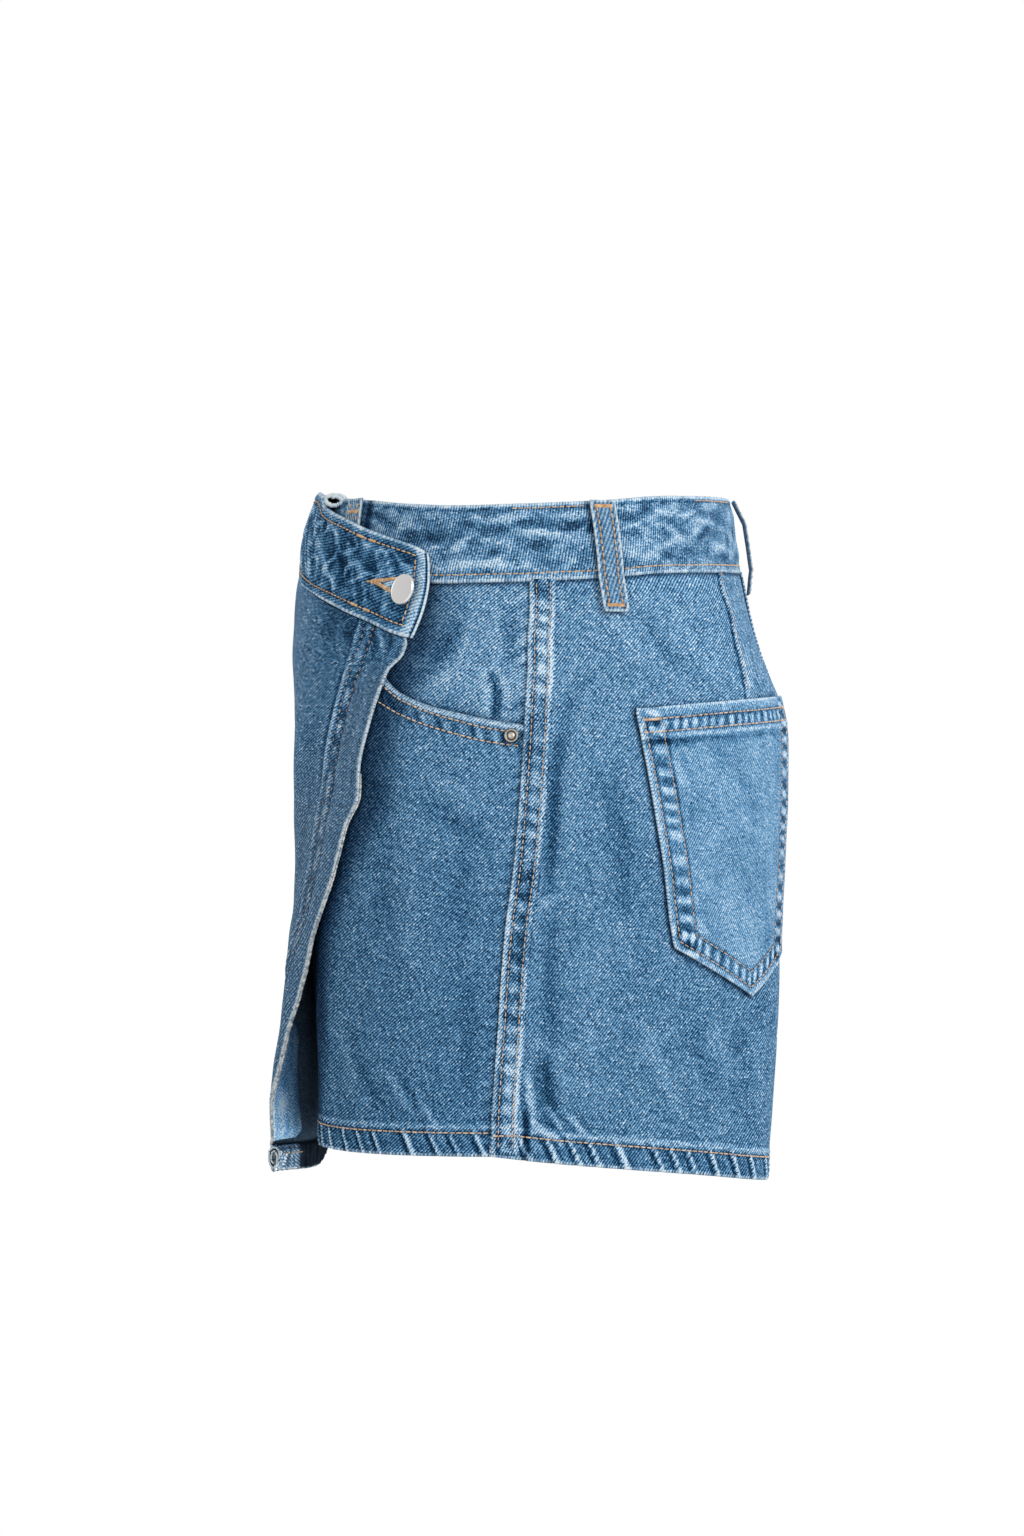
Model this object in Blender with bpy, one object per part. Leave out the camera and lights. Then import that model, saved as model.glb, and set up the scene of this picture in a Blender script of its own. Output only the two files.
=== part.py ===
"""A denim skort: shorts with a wrap panel buttoned over their front.

It is modelled as worn with no wearer in it, so every piece is a thin wall on the
garment's own hollow form. +Z is up, the wearer faces -Y and the wearer's left is +X.
The origin is the middle of the waist opening, level with the top of the waistband.
Tables are in millimetres and are turned into metres as they are read.
"""

import math

import bmesh
import bpy
import numpy as np

MM = 0.001

# Driving dimensions, in metres.
CLOTH = 0.0016
HEM_CLOTH = 0.0028
HEM_DEPTH = 0.0120
SEAM_GAP = 0.0003
BAND_HEIGHT = 0.0385
BAND_WALL = 0.0026
BAND_PROUD = 0.0009
STRIP_WALL = 0.0011
WELT_WIDTH = 0.0135
SEAT_SEAM_WIDTH = 0.0110
LOOP_WIDTH = 0.0124
LOOP_WALL = 0.0015
FACING_WIDTH = 0.0310
FACING_DEPTH = 0.0028
FACING_WALL = 0.0012
BUTTON_RADIUS = 0.0081
BUTTON_HEIGHT = 0.0042
RIVET_RADIUS = 0.0038
RIVET_HEIGHT = 0.0018
RIVET_Z = -0.1310
RIVET_FROM_SEAM = 0.0062
STRIP_START = 0.0006
SEAT_SEAM_FOOT = -0.2250
FACING_TOP = -0.0815
BEARER_END = 0.1060
BEARER_TUCK = 0.0100

# The waistband's right end laps over its left end at the front.
LAP_START = -0.0140
LAP_END = 0.0500
LAP_LIFT = BAND_WALL + 2 * SEAM_GAP
LAP_RAMP = 0.0300

SIDE_POWER = 2.2
PATH_STEPS = 120
LEFT, RIGHT = 1, -1
FRONT, BACK = -1, 1


class Table:
    """Rows of named columns in millimetres, read smoothly between the rows."""

    def __init__(self, names, rows, plain=()):
        data = np.array(rows, float)
        scale = np.array([1.0 if name in plain else MM for name in names])
        data = data * scale
        data = data[np.argsort(data[:, 0])]
        self.keys = data[:, 0]
        self.columns = {name: data[:, i] for i, name in enumerate(names)}
        self.slopes = {name: self._slopes(column) for name, column in self.columns.items()}

    def _slopes(self, values):
        steps = np.diff(self.keys)
        rises = np.diff(values) / steps
        inner = np.where(
            rises[1:] * rises[:-1] > 0,
            2 * rises[1:] * rises[:-1] / np.where(rises[1:] + rises[:-1] == 0, 1, rises[1:] + rises[:-1]),
            0.0,
        )
        return np.concatenate([rises[:1], inner, rises[-1:]])

    def read(self, name, key):
        key = np.clip(key, self.keys[0], self.keys[-1])
        row = np.clip(np.searchsorted(self.keys, key) - 1, 0, len(self.keys) - 2)
        step = self.keys[row + 1] - self.keys[row]
        t = (key - self.keys[row]) / step
        low, high = self.columns[name][row], self.columns[name][row + 1]
        slope_low, slope_high = self.slopes[name][row], self.slopes[name][row + 1]
        return (
            low * (1 + 2 * t) * (1 - t) ** 2
            + high * t * t * (3 - 2 * t)
            + step * (slope_low * t * (1 - t) ** 2 - slope_high * t * t * (1 - t))
        )


# The outside of the shorts, a row for each height. side is how far the side seam
# stands out, split is how far each leg's middle is from the garment's middle, seam_y
# is where the side seam lies, front and back are the outermost points, and inner is
# the roundness of the half of each leg that faces the other leg.
BODY = Table(
    ("z", "side", "split", "seam_y", "front", "back", "inner"),
    [
        (2, 129.0, 0, 1, -109.0, 108.0, 2.2),
        (-12, 130.5, 0, 1, -112.5, 110.0, 2.2),
        (-39, 134.0, 0, 0, -118.5, 114.0, 2.2),
        (-51, 137.0, 0, -1, -120.5, 116.5, 2.2),
        (-66, 142.5, 6, -1, -121.5, 119.5, 2.6),
        (-81, 147.5, 14, -2, -122.0, 123.5, 3.2),
        (-95, 151.5, 24, -2, -122.0, 128.5, 3.6),
        (-110, 155.5, 33, -3, -122.0, 134.0, 3.8),
        (-131, 160.0, 43, -4, -121.5, 138.0, 3.8),
        (-160, 166.0, 53, -6, -120.0, 137.0, 3.6),
        (-197, 171.0, 65, -9.3, -118.0, 134.5, 3.4),
        (-227, 173.5, 74, -13.4, -115.5, 132.0, 3.2),
        (-255, 174.5, 81, -15.8, -113.5, 131.0, 3.1),
        (-275, 175.0, 86, -17, -112.5, 130.0, 3.0),
        (-302, 175.5, 89, -19, -111.5, 128.2, 2.8),
        (-325, 175.5, 90, -20.3, -111.0, 126.6, 2.7),
        (-347, 176.0, 90.5, -20.5, -111.0, 125.0, 2.7),
        (-366, 176.5, 91, -20.5, -111.0, 124.0, 2.7),
    ],
    plain=("inner",),
)

# Bottom edge of each leg, from the side seam (share 0) to the inseam (share 1).
LEG_HEM = Table(
    ("share", "front", "back"),
    [
        (0.00, -341.0, -341.0),
        (0.08, -341.0, -344.5),
        (0.20, -341.3, -349.0),
        (0.30, -341.7, -353.2),
        (0.40, -342.1, -358.2),
        (0.50, -342.5, -362.0),
        (0.60, -343.3, -363.0),
        (0.75, -346.0, -360.0),
        (1.00, -353.0, -353.0),
    ],
    plain=("share",),
)

# Top edge of the waistband, from the side seam (share 0) to the middle (share 1).
BAND_TOP = Table(
    ("share", "front", "back"),
    [
        (0.00, -12.0, -12.0),
        (0.20, -12.6, -9.8),
        (0.35, -10.8, -6.8),
        (0.50, -7.5, -5.2),
        (0.75, -3.0, -3.0),
        (1.00, 0.0, -1.0),
    ],
    plain=("share",),
)

# The scooped pocket opening: height over distance from the left side seam.
POCKET_MOUTH = Table(
    ("from_seam", "z"),
    [
        (0, -125.4),
        (18, -122.8),
        (32, -119.7),
        (48, -116.0),
        (64, -111.0),
        (72, -106.5),
        (80, -99.0),
        (88, -84.0),
        (94, -65.0),
        (97, -49.0),
    ],
)

# The pointed patch pocket: its two edges, as distance from the side seam, and its top
# and bottom edges, as height over the share of its width.
PATCH_TOP = Table(("share", "z"), [(0, -118.0), (0.5, -113.5), (1, -110.0)], plain=("share",))
PATCH_FOOT = Table(
    ("share", "z"),
    [(0, -236.7), (0.3, -250.1), (0.6, -263.5), (0.8, -253.3), (1, -243.0)],
    plain=("share",),
)
PATCH_TOP_EDGES = (0.0570, 0.1740)
PATCH_FOOT_EDGES = (0.0840, 0.1730)

# The wrap's outside. gap is how far it stands off the shorts on the middle of the
# front, edge_run is the way round from there to its free left edge. Near that edge the
# cloth stands forward in a ridge: how far, how far inside the edge, and how wide.
WRAP = Table(
    ("z", "gap", "edge_run", "ridge", "ridge_in", "ridge_width"),
    [
        (-30, 6.8, 156, 0, 60, 26),
        (-52, 7.4, 157, 0, 60, 26),
        (-66, 7.2, 158, 0, 60, 26),
        (-78, 6.8, 158, 0, 60, 26),
        (-89, 6.3, 157.5, 0, 60, 26),
        (-97, 5.8, 152, 0, 60, 26),
        (-112, 5.2, 149.5, 0, 60, 26),
        (-143, 5.2, 150, 0.5, 60, 26),
        (-176, 5.2, 148, 1.5, 56, 26),
        (-195, 5.0, 140, 2.5, 52, 26),
        (-217, 5.0, 130, 4.3, 46, 26),
        (-237, 5.2, 120, 8.0, 36, 24),
        (-259, 5.4, 112, 11.0, 25, 22),
        (-288, 5.0, 98, 16.0, 14, 16),
        (-306, 4.8, 96, 19.5, 10, 20),
        (-323, 4.6, 94, 21.5, 3, 27),
        (-345, 4.6, 94, 20.5, 0, 28),
        (-372, 4.6, 94, 20.5, 0, 28),
    ],
)
WRAP_SEAM_LIFT = 0.0036
RIDGE_EDGE_WIDTH = 0.0240
WRAP_TOP_GAP = 0.0006
BAND_RUN_SCALE = 0.96

# The wrap's band over the distance from the middle of the front, the wearer's left
# being positive: its edges, and how far its outside stands off the shorts.
WRAP_BAND = Table(
    ("along", "top", "foot", "stand_off"),
    [
        (-200, -11.5, -52.0, 5.4),
        (-150, -8.5, -49.5, 5.8),
        (-90, -3.5, -44.5, 6.8),
        (-40, -0.5, -40.5, 7.4),
        (0, 0.2, -39.0, 7.4),
        (24, 0.0, -43.5, 7.4),
        (44, -2.5, -49.0, 7.4),
        (60, -10.5, -53.2, 7.2),
        (87, -17.8, -60.8, 7.0),
        (105, -23.6, -66.5, 6.8),
        (124, -29.2, -72.9, 6.4),
        (137, -33.0, -78.0, 6.0),
        (149, -37.5, -81.5, 5.8),
    ],
)
TAB_END = 0.1490
TAB_FOOT_SPREAD = 0.0095
BUTTON_ALONG = 0.1390
BUTTON_DROP = 0.5500
BUTTON_NORMAL = (0.682, -0.699, 0.214)

# The wrap's hem, from the right side seam (share 0) to the free edge (share 1).
WRAP_HEM = Table(
    ("share", "z"),
    [
        (0, -345.5),
        (0.2, -350.0),
        (0.45, -356.5),
        (0.6, -359.5),
        (0.72, -360.3),
        (0.85, -359.6),
        (1, -357.5),
    ],
    plain=("share",),
)

# Belt loops: the quarter each is on, how far its middle is from the side seam at its
# top and at its foot, the heights of both, and how far it stands off at five heights.
FLAT_LOOP = (0.0004, 0.0010, 0.0010, 0.0010, 0.0004)
BOWED_LOOP = (0.0006, 0.0048, 0.0050, 0.0048, 0.0008)
BELT_LOOPS = {
    "belt_loop_side_left": (BACK, LEFT, 0.0350, 0.0445, -0.0100, -0.0675, FLAT_LOOP),
    "belt_loop_side_right": (BACK, RIGHT, 0.0350, 0.0445, -0.0100, -0.0675, FLAT_LOOP),
    "belt_loop_front_left": (FRONT, LEFT, 0.1065, 0.1065, -0.0040, -0.0555, FLAT_LOOP),
    "belt_loop_back": (BACK, LEFT, None, None, -0.0015, -0.0520, BOWED_LOOP),
}

DENIM = (0.110, 0.235, 0.385)
DENIM_SHADE = (0.085, 0.160, 0.265)
DENIM_WORN = (0.165, 0.320, 0.480)
NICKEL = (0.720, 0.705, 0.685)


def clear_scene():
    for old in list(bpy.data.objects):
        bpy.data.objects.remove(old, do_unlink=True)


def material(name, colour, roughness, metallic):
    made = bpy.data.materials.new(name)
    made.use_nodes = True
    shader = made.node_tree.nodes["Principled BSDF"]
    shader.inputs["Base Color"].default_value = (*colour, 1.0)
    shader.inputs["Roughness"].default_value = roughness
    shader.inputs["Metallic"].default_value = metallic
    made.diffuse_color = (*colour, 1.0)
    return made


def signed_power(value, power):
    return np.sign(value) * np.abs(value) ** power


def lobe(z, turn):
    """Outside of one leg's lobe: turn is 0 at the side seam, a half turn at the inseam,
    negative round the front and positive round the back."""
    split = BODY.read("split", z)
    half_width = BODY.read("side", z) - split
    seam_y = BODY.read("seam_y", z)
    reach = np.where(turn < 0, seam_y - BODY.read("front", z), BODY.read("back", z) - seam_y)
    power = np.where(np.abs(turn) <= math.pi / 2, SIDE_POWER, BODY.read("inner", z))
    x = split + half_width * signed_power(np.cos(turn), 2 / power)
    y = seam_y + reach * signed_power(np.sin(turn), 2 / power)
    return x, y


def lengths(x, y):
    return np.concatenate([[0.0], np.cumsum(np.hypot(np.diff(x), np.diff(y)))])


def quarter_path(z, way, cache={}):
    """The section at height z from the left side seam to the middle or the inseam."""
    key = (round(float(z), 6), way)
    if key not in cache:
        turn = way * np.linspace(0, math.pi, PATH_STEPS * 2 + 1)
        x, y = lobe(z, turn)
        if x[-1] < 0:
            last = int(np.argmax(x < 0))
            share = x[last - 1] / (x[last - 1] - x[last])
            y_middle = y[last - 1] + share * (y[last] - y[last - 1])
            x = np.append(x[:last], 0.0)
            y = np.append(y[:last], y_middle)
        cache[key] = (x, y, lengths(x, y))
    return cache[key]


def on_body(z, from_seam, way, side=LEFT):
    """A point on the shorts' outside, at a distance from the side seam."""
    x, y, run = quarter_path(z, way)
    return np.array([side * np.interp(from_seam, run, x), np.interp(from_seam, run, y), z])


def body_length(z, way):
    return quarter_path(z, way)[2][-1]


def body_normal(z, from_seam, way, side=LEFT):
    step = 0.002
    low, high = max(from_seam - step, 0.0), min(from_seam + step, body_length(z, way))
    along = on_body(z, high, way, side) - on_body(z, low, way, side)
    up = on_body(z + step, from_seam, way, side) - on_body(z - step, from_seam, way, side)
    normal = np.cross(along, up) * (way * side)
    return normal / np.linalg.norm(normal)


def off_body(z, from_seam, way, side, distance):
    """A point lifted off the shorts' outside by a distance."""
    return on_body(z, from_seam, way, side) + distance * body_normal(z, from_seam, way, side)


def front_point(z, along, distance):
    """A point off the shorts' front, along being the distance from the front middle."""
    side = LEFT if along >= 0 else RIGHT
    from_seam = body_length(z, FRONT) - abs(along)
    if from_seam < 0:
        return off_body(z, -from_seam, BACK, side, distance)
    return off_body(z, from_seam, FRONT, side, distance)


def band_top(share, way):
    """Top edge of the waistband, share being 0 at the side seam and 1 at the middle."""
    return float(BAND_TOP.read("front" if way == FRONT else "back", share))


def grid_normals(grid):
    down = np.gradient(grid, axis=0)
    across = np.gradient(grid, axis=1)
    normals = np.cross(across, down)
    return normals / np.linalg.norm(normals, axis=2, keepdims=True)


def outward(grid, normals):
    """Turns the normals away from the garment's upright axis, by their average."""
    agreement = (grid[..., :2] * normals[..., :2]).sum()
    return normals if agreement > 0 else -normals


def wall(name, outer, inner, colour, rough=0.85, metal=0.0):
    """A closed solid between two grids of points, one sheet over the other."""
    rows, columns = outer.shape[:2]
    mesh = bpy.data.meshes.new(name)
    body = bmesh.new()
    sheets = [[[body.verts.new(p) for p in row] for row in grid] for grid in (outer, inner)]
    for sheet in sheets:
        for i in range(rows - 1):
            for j in range(columns - 1):
                corners = (sheet[i][j], sheet[i][j + 1], sheet[i + 1][j + 1], sheet[i + 1][j])
                body.faces.new(corners)
    border = [(0, j) for j in range(columns)]
    border += [(i, columns - 1) for i in range(1, rows)]
    border += [(rows - 1, j) for j in range(columns - 2, -1, -1)]
    border += [(i, 0) for i in range(rows - 2, 0, -1)]
    for here, there in zip(border, border[1:] + border[:1]):
        top_here, top_there = sheets[0][here[0]][here[1]], sheets[0][there[0]][there[1]]
        low_here, low_there = sheets[1][here[0]][here[1]], sheets[1][there[0]][there[1]]
        body.faces.new((top_here, top_there, low_there, low_here))
    bmesh.ops.recalc_face_normals(body, faces=body.faces)
    bmesh.ops.triangulate(body, faces=body.faces)
    body.to_mesh(mesh)
    body.free()
    mesh.shade_smooth()
    mesh.set_sharp_from_angle(angle=math.radians(40))
    made = bpy.data.objects.new(name, mesh)
    made.data.materials.append(material(name + "_finish", colour, rough, metal))
    bpy.context.scene.collection.objects.link(made)
    return made


def panel_grid(way, side, top_of, shares, levels):
    """Points on the shorts' outside for one quarter, from its top edge to its hem."""
    hem_name = "front" if way == FRONT else "back"
    rows = []
    for level in levels:
        row = []
        for share in shares:
            top = top_of(share)
            hem = float(LEG_HEM.read(hem_name, share))
            z = top + level * (hem - top)
            length = body_length(z, way)
            from_seam = SEAM_GAP / 2 + share * (length - SEAM_GAP)
            point = on_body(z, from_seam, way, side)
            if abs(point[0]) < SEAM_GAP / 2:
                point[0] = side * SEAM_GAP / 2
            row.append(point)
        rows.append(row)
    return np.array(rows)


def square_to_seams(grid, normals):
    """Keeps the cut edges square to the seams, so that two panels stay a gap apart."""
    squared = normals.copy()
    squared[:, 0, 1] = 0.0
    on_middle = np.abs(grid[:, -1, 0]) < SEAM_GAP
    squared[:, -1, 0] = np.where(on_middle, 0.0, squared[:, -1, 0])
    squared[:, -1, 1] = np.where(on_middle, squared[:, -1, 1], 0.0)
    return squared / np.linalg.norm(squared, axis=2, keepdims=True)


def thickness_by_level(grid, hem_depth):
    """Cloth thickness for each point: the turned-up hem is thicker."""
    above_hem = grid[..., 2] - grid[-1:, :, 2]
    return np.where(above_hem < hem_depth, HEM_CLOTH, CLOTH)[..., None]


PANEL_LEVELS = (
    0, 0.06, 0.14, 0.22, 0.30, 0.38, 0.47, 0.56, 0.64, 0.70, 0.74, 0.77, 0.80, 0.85, 0.91, 0.962, 0.965, 1,
)
BACK_SHARES = (0, 0.08, 0.17, 0.26, 0.35, 0.44, 0.53, 0.62, 0.71, 0.80, 0.88, 0.94, 1)
FRONT_SHARES = (0, 0.08, 0.16, 0.24, 0.32, 0.36, 0.40, 0.46, 0.52, 0.58, 0.66, 0.75, 0.84, 0.92, 1)


def front_top(share):
    return band_top(share, FRONT) - BAND_HEIGHT - SEAM_GAP


def back_top(share):
    return band_top(share, BACK) - BAND_HEIGHT - SEAM_GAP


def pocket_mouth_top(share):
    """Top edge of the front panel that has the scooped pocket opening."""
    from_seam = share * body_length(-0.105, FRONT)
    mouth_end = POCKET_MOUTH.keys[-1]
    if from_seam >= mouth_end:
        return front_top(share)
    return min(float(POCKET_MOUTH.read("z", from_seam)), front_top(share))


def make_panel(name, way, side, top_of, shares, colour):
    outer = panel_grid(way, side, top_of, shares, PANEL_LEVELS)
    normals = square_to_seams(outer, outward(outer, grid_normals(outer)))
    inner = outer - normals * thickness_by_level(outer, HEM_DEPTH)
    thin = np.abs(inner[..., 0]) < SEAM_GAP / 2
    inner[..., 0] = np.where(thin | (inner[..., 0] * side < 0), side * SEAM_GAP / 2, inner[..., 0])
    return wall(name, outer, inner, colour)


def make_bearer():
    """The hip piece behind the scooped opening, one cloth further in."""
    inset = CLOTH + 3 * SEAM_GAP
    rows = []
    for level in np.linspace(0, 1, 8):
        row = []
        for from_seam in np.linspace(STRIP_START, BEARER_END, 10):
            share = from_seam / body_length(-0.05, FRONT)
            top = front_top(share)
            mouth = float(POCKET_MOUTH.read("z", from_seam))
            foot = min(mouth, top - 0.004) - BEARER_TUCK
            z = top + level * (foot - top)
            row.append(off_body(z, from_seam, FRONT, LEFT, -inset))
        rows.append(row)
    outer = np.array(rows)
    normals = outward(outer, grid_normals(outer))
    return wall("pocket_bearer_left", outer, outer - normals * CLOTH, DENIM)


def make_side_seam(name, side):
    """The felled side seam's welt, which lies on the back panel beside the seam."""
    grids = []
    for distance in (SEAM_GAP + STRIP_WALL, SEAM_GAP):
        rows = []
        for level in PANEL_LEVELS:
            top, hem = back_top(0.0), float(LEG_HEM.read("back", 0.0))
            z = top + level * (hem - top)
            across = STRIP_START + np.linspace(0, WELT_WIDTH, 3)
            rows.append([off_body(z, from_seam, BACK, side, distance) for from_seam in across])
        grids.append(np.array(rows))
    return wall(name, grids[0], grids[1], DENIM_WORN)


def make_seat_seam():
    """The felled centre-back seam, from the band to where the seat turns under."""
    lift = 3 * SEAM_GAP
    grids = []
    for distance in (lift + STRIP_WALL, lift):
        rows = []
        for z in np.linspace(back_top(0.9) - SEAM_GAP, SEAT_SEAM_FOOT, 14):
            length = body_length(z, BACK)
            row = []
            for across in (-0.0020, 0.0015, 0.0050, SEAT_SEAM_WIDTH - 0.0020):
                side = RIGHT if across < 0 else LEFT
                point = off_body(z, length - abs(across), BACK, side, distance)
                row.append(point)
            rows.append(row)
        grids.append(np.array(rows))
    return wall("seat_seam", grids[0], grids[1], DENIM_WORN)


def make_patch_pocket(name, side):
    lift = 2 * SEAM_GAP
    grids = []
    shares = (0, 0.15, 0.3, 0.45, 0.6, 0.7, 0.8, 0.9, 1)
    for distance in (lift + CLOTH + 0.0003, lift):
        rows = []
        for down in np.linspace(0, 1, 9):
            row = []
            for share in shares:
                top = float(PATCH_TOP.read("z", share))
                foot = float(PATCH_FOOT.read("z", share))
                z = top + down * (foot - top)
                left = PATCH_TOP_EDGES[0] + down * (PATCH_FOOT_EDGES[0] - PATCH_TOP_EDGES[0])
                right = PATCH_TOP_EDGES[1] + down * (PATCH_FOOT_EDGES[1] - PATCH_TOP_EDGES[1])
                row.append(off_body(z, left + share * (right - left), BACK, side, distance))
            rows.append(row)
        grids.append(np.array(rows))
    return wall(name, grids[0], grids[1], DENIM_WORN)


def band_path_point(along, z_share, distance):
    """A point on the waistband: along runs from the front middle round the left side,
    the back and the right side; z_share is 0 at the top edge and 1 at the foot."""
    z_guess = -0.020
    quarters = [
        (body_length(z_guess, FRONT), FRONT, LEFT, True),
        (body_length(z_guess, BACK), BACK, LEFT, False),
        (body_length(z_guess, BACK), BACK, RIGHT, True),
        (body_length(z_guess, FRONT), FRONT, RIGHT, False),
    ]
    total = sum(quarter[0] for quarter in quarters)
    along = along % total
    for length, way, side, towards_seam in quarters:
        if along <= length:
            share = 1 - along / length if towards_seam else along / length
            z = band_top(share, way) - z_share * BAND_HEIGHT
            from_seam = share * body_length(z, way)
            return off_body(z, from_seam, way, side, distance)
        along -= length
    raise ValueError("along is past the end of the band")


def band_round():
    return 2 * (body_length(-0.020, FRONT) + body_length(-0.020, BACK))


def make_waistband():
    """One doubled band round the waist, whose right end laps over its left end."""
    total = band_round()
    runs = np.concatenate([
        np.linspace(LAP_START, 0.16, 12),
        np.linspace(0.18, total - 0.16, 34),
        np.linspace(total - 0.14, total + LAP_START - 0.006, 9),
        np.linspace(total + LAP_START, total + LAP_END, 6),
    ])
    ramp_start = total + LAP_START - LAP_RAMP
    grids = []
    for inward in (0.0, BAND_WALL):
        rows = []
        for z_share in (0.0, 0.5, 1.0):
            row = []
            for run in runs:
                lift = LAP_LIFT * min(max((run - ramp_start) / (LAP_RAMP - 0.004), 0.0), 1.0)
                row.append(band_path_point(run, z_share, BAND_PROUD + lift - inward))
            rows.append(row)
        grids.append(np.array(rows))
    return wall("waistband", grids[0], grids[1], DENIM)


def wrap_path(z, cache={}):
    """The wrap's section at height z, from the right side seam to its free edge.

    It lies off the outside of the right leg, runs straight from leg to leg, goes round
    the left leg and ends at the free edge, next to which it stands forward in a ridge."""
    key = round(float(z), 6)
    if key not in cache:
        x, y = lobe(z, -np.linspace(0, math.pi / 2, PATH_STEPS))
        to_front = np.sin(np.linspace(0, math.pi / 2, PATH_STEPS))
        gap = WRAP_SEAM_LIFT + (WRAP.read("gap", z) - WRAP_SEAM_LIFT) * to_front
        tangent = np.stack([np.gradient(x), np.gradient(y)])
        tangent /= np.hypot(*tangent)
        x, y = x - tangent[1] * gap, y + tangent[0] * gap
        x = np.concatenate([-x, x[::-1]])
        y = np.concatenate([y, y[::-1]])
        run = lengths(x, y)
        to_edge = run[-1] / 2 + float(WRAP.read("edge_run", z))
        even = np.linspace(0, to_edge, 3 * PATH_STEPS)
        x, y = np.interp(even, run, x), np.interp(even, run, y)
        inside = to_edge - even
        ridge_in = float(WRAP.read("ridge_in", z))
        width = np.where(inside > ridge_in, float(WRAP.read("ridge_width", z)), RIDGE_EDGE_WIDTH)
        y = y - float(WRAP.read("ridge", z)) * np.exp(-(((inside - ridge_in) / width) ** 2))
        cache[key] = (x, y, lengths(x, y))
    return cache[key]


def on_wrap(z, run):
    x, y, lengths_here = wrap_path(z)
    return np.array([np.interp(run, lengths_here, x), np.interp(run, lengths_here, y), z])


def wrap_length(z):
    return wrap_path(z)[2][-1]


def wrap_middle(z):
    """How far round the wrap's section its front middle lies."""
    x, y, run = wrap_path(z)
    return float(np.interp(0.0, x, run))


def wrap_normal(z, run):
    step = 0.002
    low, high = max(run - step, 0.0), min(run + step, wrap_length(z))
    along = on_wrap(z, high) - on_wrap(z, low)
    up = on_wrap(z + step, run) - on_wrap(z - step, run)
    normal = np.cross(along, up)
    return normal / np.linalg.norm(normal)


def tab_spread(along, z_share):
    """How much further round the band's foot reaches than its top edge."""
    return TAB_FOOT_SPREAD * math.sin(z_share * math.pi * 0.6) * (max(along, 0.0) / TAB_END) ** 2


def wrap_top(run_share):
    """Top edge of the wrap panel, just under its band's foot."""
    foot = -0.050
    for _ in range(5):
        run = run_share * wrap_length(foot)
        along = (run - wrap_middle(foot)) * BAND_RUN_SCALE
        foot = float(WRAP_BAND.read("foot", along - tab_spread(along, 1.0))) - WRAP_TOP_GAP
    return foot


def make_wrap_panel():
    shares = np.concatenate([np.linspace(0, 0.80, 17), np.linspace(0.84, 1, 7)])
    levels = (0, 0.07, 0.15, 0.23, 0.31, 0.40, 0.49, 0.58, 0.67, 0.75, 0.82, 0.88, 0.93, 0.962, 0.965, 1)
    rows = []
    for level in levels:
        row = []
        for share in shares:
            top = wrap_top(share)
            z = top + level * (float(WRAP_HEM.read("z", share)) - top)
            row.append(on_wrap(z, SEAM_GAP + share * (wrap_length(z) - SEAM_GAP)))
        rows.append(row)
    outer = np.array(rows)
    normals = outward(outer, grid_normals(outer))
    inner = outer - normals * thickness_by_level(outer, HEM_DEPTH)
    return wall("wrap_panel", outer, inner, DENIM_SHADE)


def make_wrap_facing():
    """The strip that doubles the wrap's free edge on its inside, down to the hem."""
    grids = []
    for depth in (FACING_DEPTH, FACING_DEPTH + FACING_WALL):
        rows = []
        for level in np.linspace(0, 1, 16):
            row = []
            for inside in (FACING_WIDTH, 0.021, 0.012, 0.006, 0.001):
                foot = float(WRAP_HEM.read("z", 1.0)) + HEM_DEPTH + 0.003
                z = FACING_TOP + level * (foot - FACING_TOP)
                run = wrap_length(z) - inside
                row.append(on_wrap(z, run) - depth * wrap_normal(z, run))
            rows.append(row)
        grids.append(np.array(rows))
    return wall("wrap_facing", grids[0], grids[1], DENIM_WORN)


def wrap_band_point(along, z_share, inward):
    top, foot = float(WRAP_BAND.read("top", along)), float(WRAP_BAND.read("foot", along))
    z = top + z_share * (foot - top)
    reach = float(WRAP_BAND.read("stand_off", along)) - inward
    return front_point(z, along + tab_spread(along, z_share), reach)


def make_wrap_band():
    start = STRIP_START - body_length(-0.030, FRONT)
    runs = np.concatenate([np.linspace(start, 0, 16), np.linspace(0.009, TAB_END, 16)])
    grids = []
    for inward in (0.0, BAND_WALL):
        rows = [[wrap_band_point(run, z_share, inward) for run in runs] for z_share in (0, 0.33, 0.67, 1)]
        grids.append(np.array(rows))
    return wall("wrap_band", grids[0], grids[1], DENIM_SHADE)


def make_loop(name, way, side, top, foot, top_z, foot_z, offsets):
    """A belt loop; one with no distance from the side seam is on the back's middle."""
    grids = []
    for depth in (LOOP_WALL, 0.0):
        rows = []
        for height in np.linspace(0, 1, 9):
            z = top_z + height * (foot_z - top_z)
            quarter = body_length(z, way)
            middle = quarter if top is None else top + height * (foot - top)
            bow = float(np.interp(height, np.linspace(0, 1, len(offsets)), offsets))
            distance = BAND_PROUD + SEAM_GAP + bow + depth
            row = []
            for across in (-0.5, 0.0, 0.5):
                from_seam = middle + across * LOOP_WIDTH
                if from_seam > quarter:
                    row.append(off_body(z, 2 * quarter - from_seam, way, -side, distance))
                else:
                    row.append(off_body(z, from_seam, way, side, distance))
            rows.append(row)
        grids.append(np.array(rows))
    return wall(name, grids[0], grids[1], DENIM_WORN)


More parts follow.
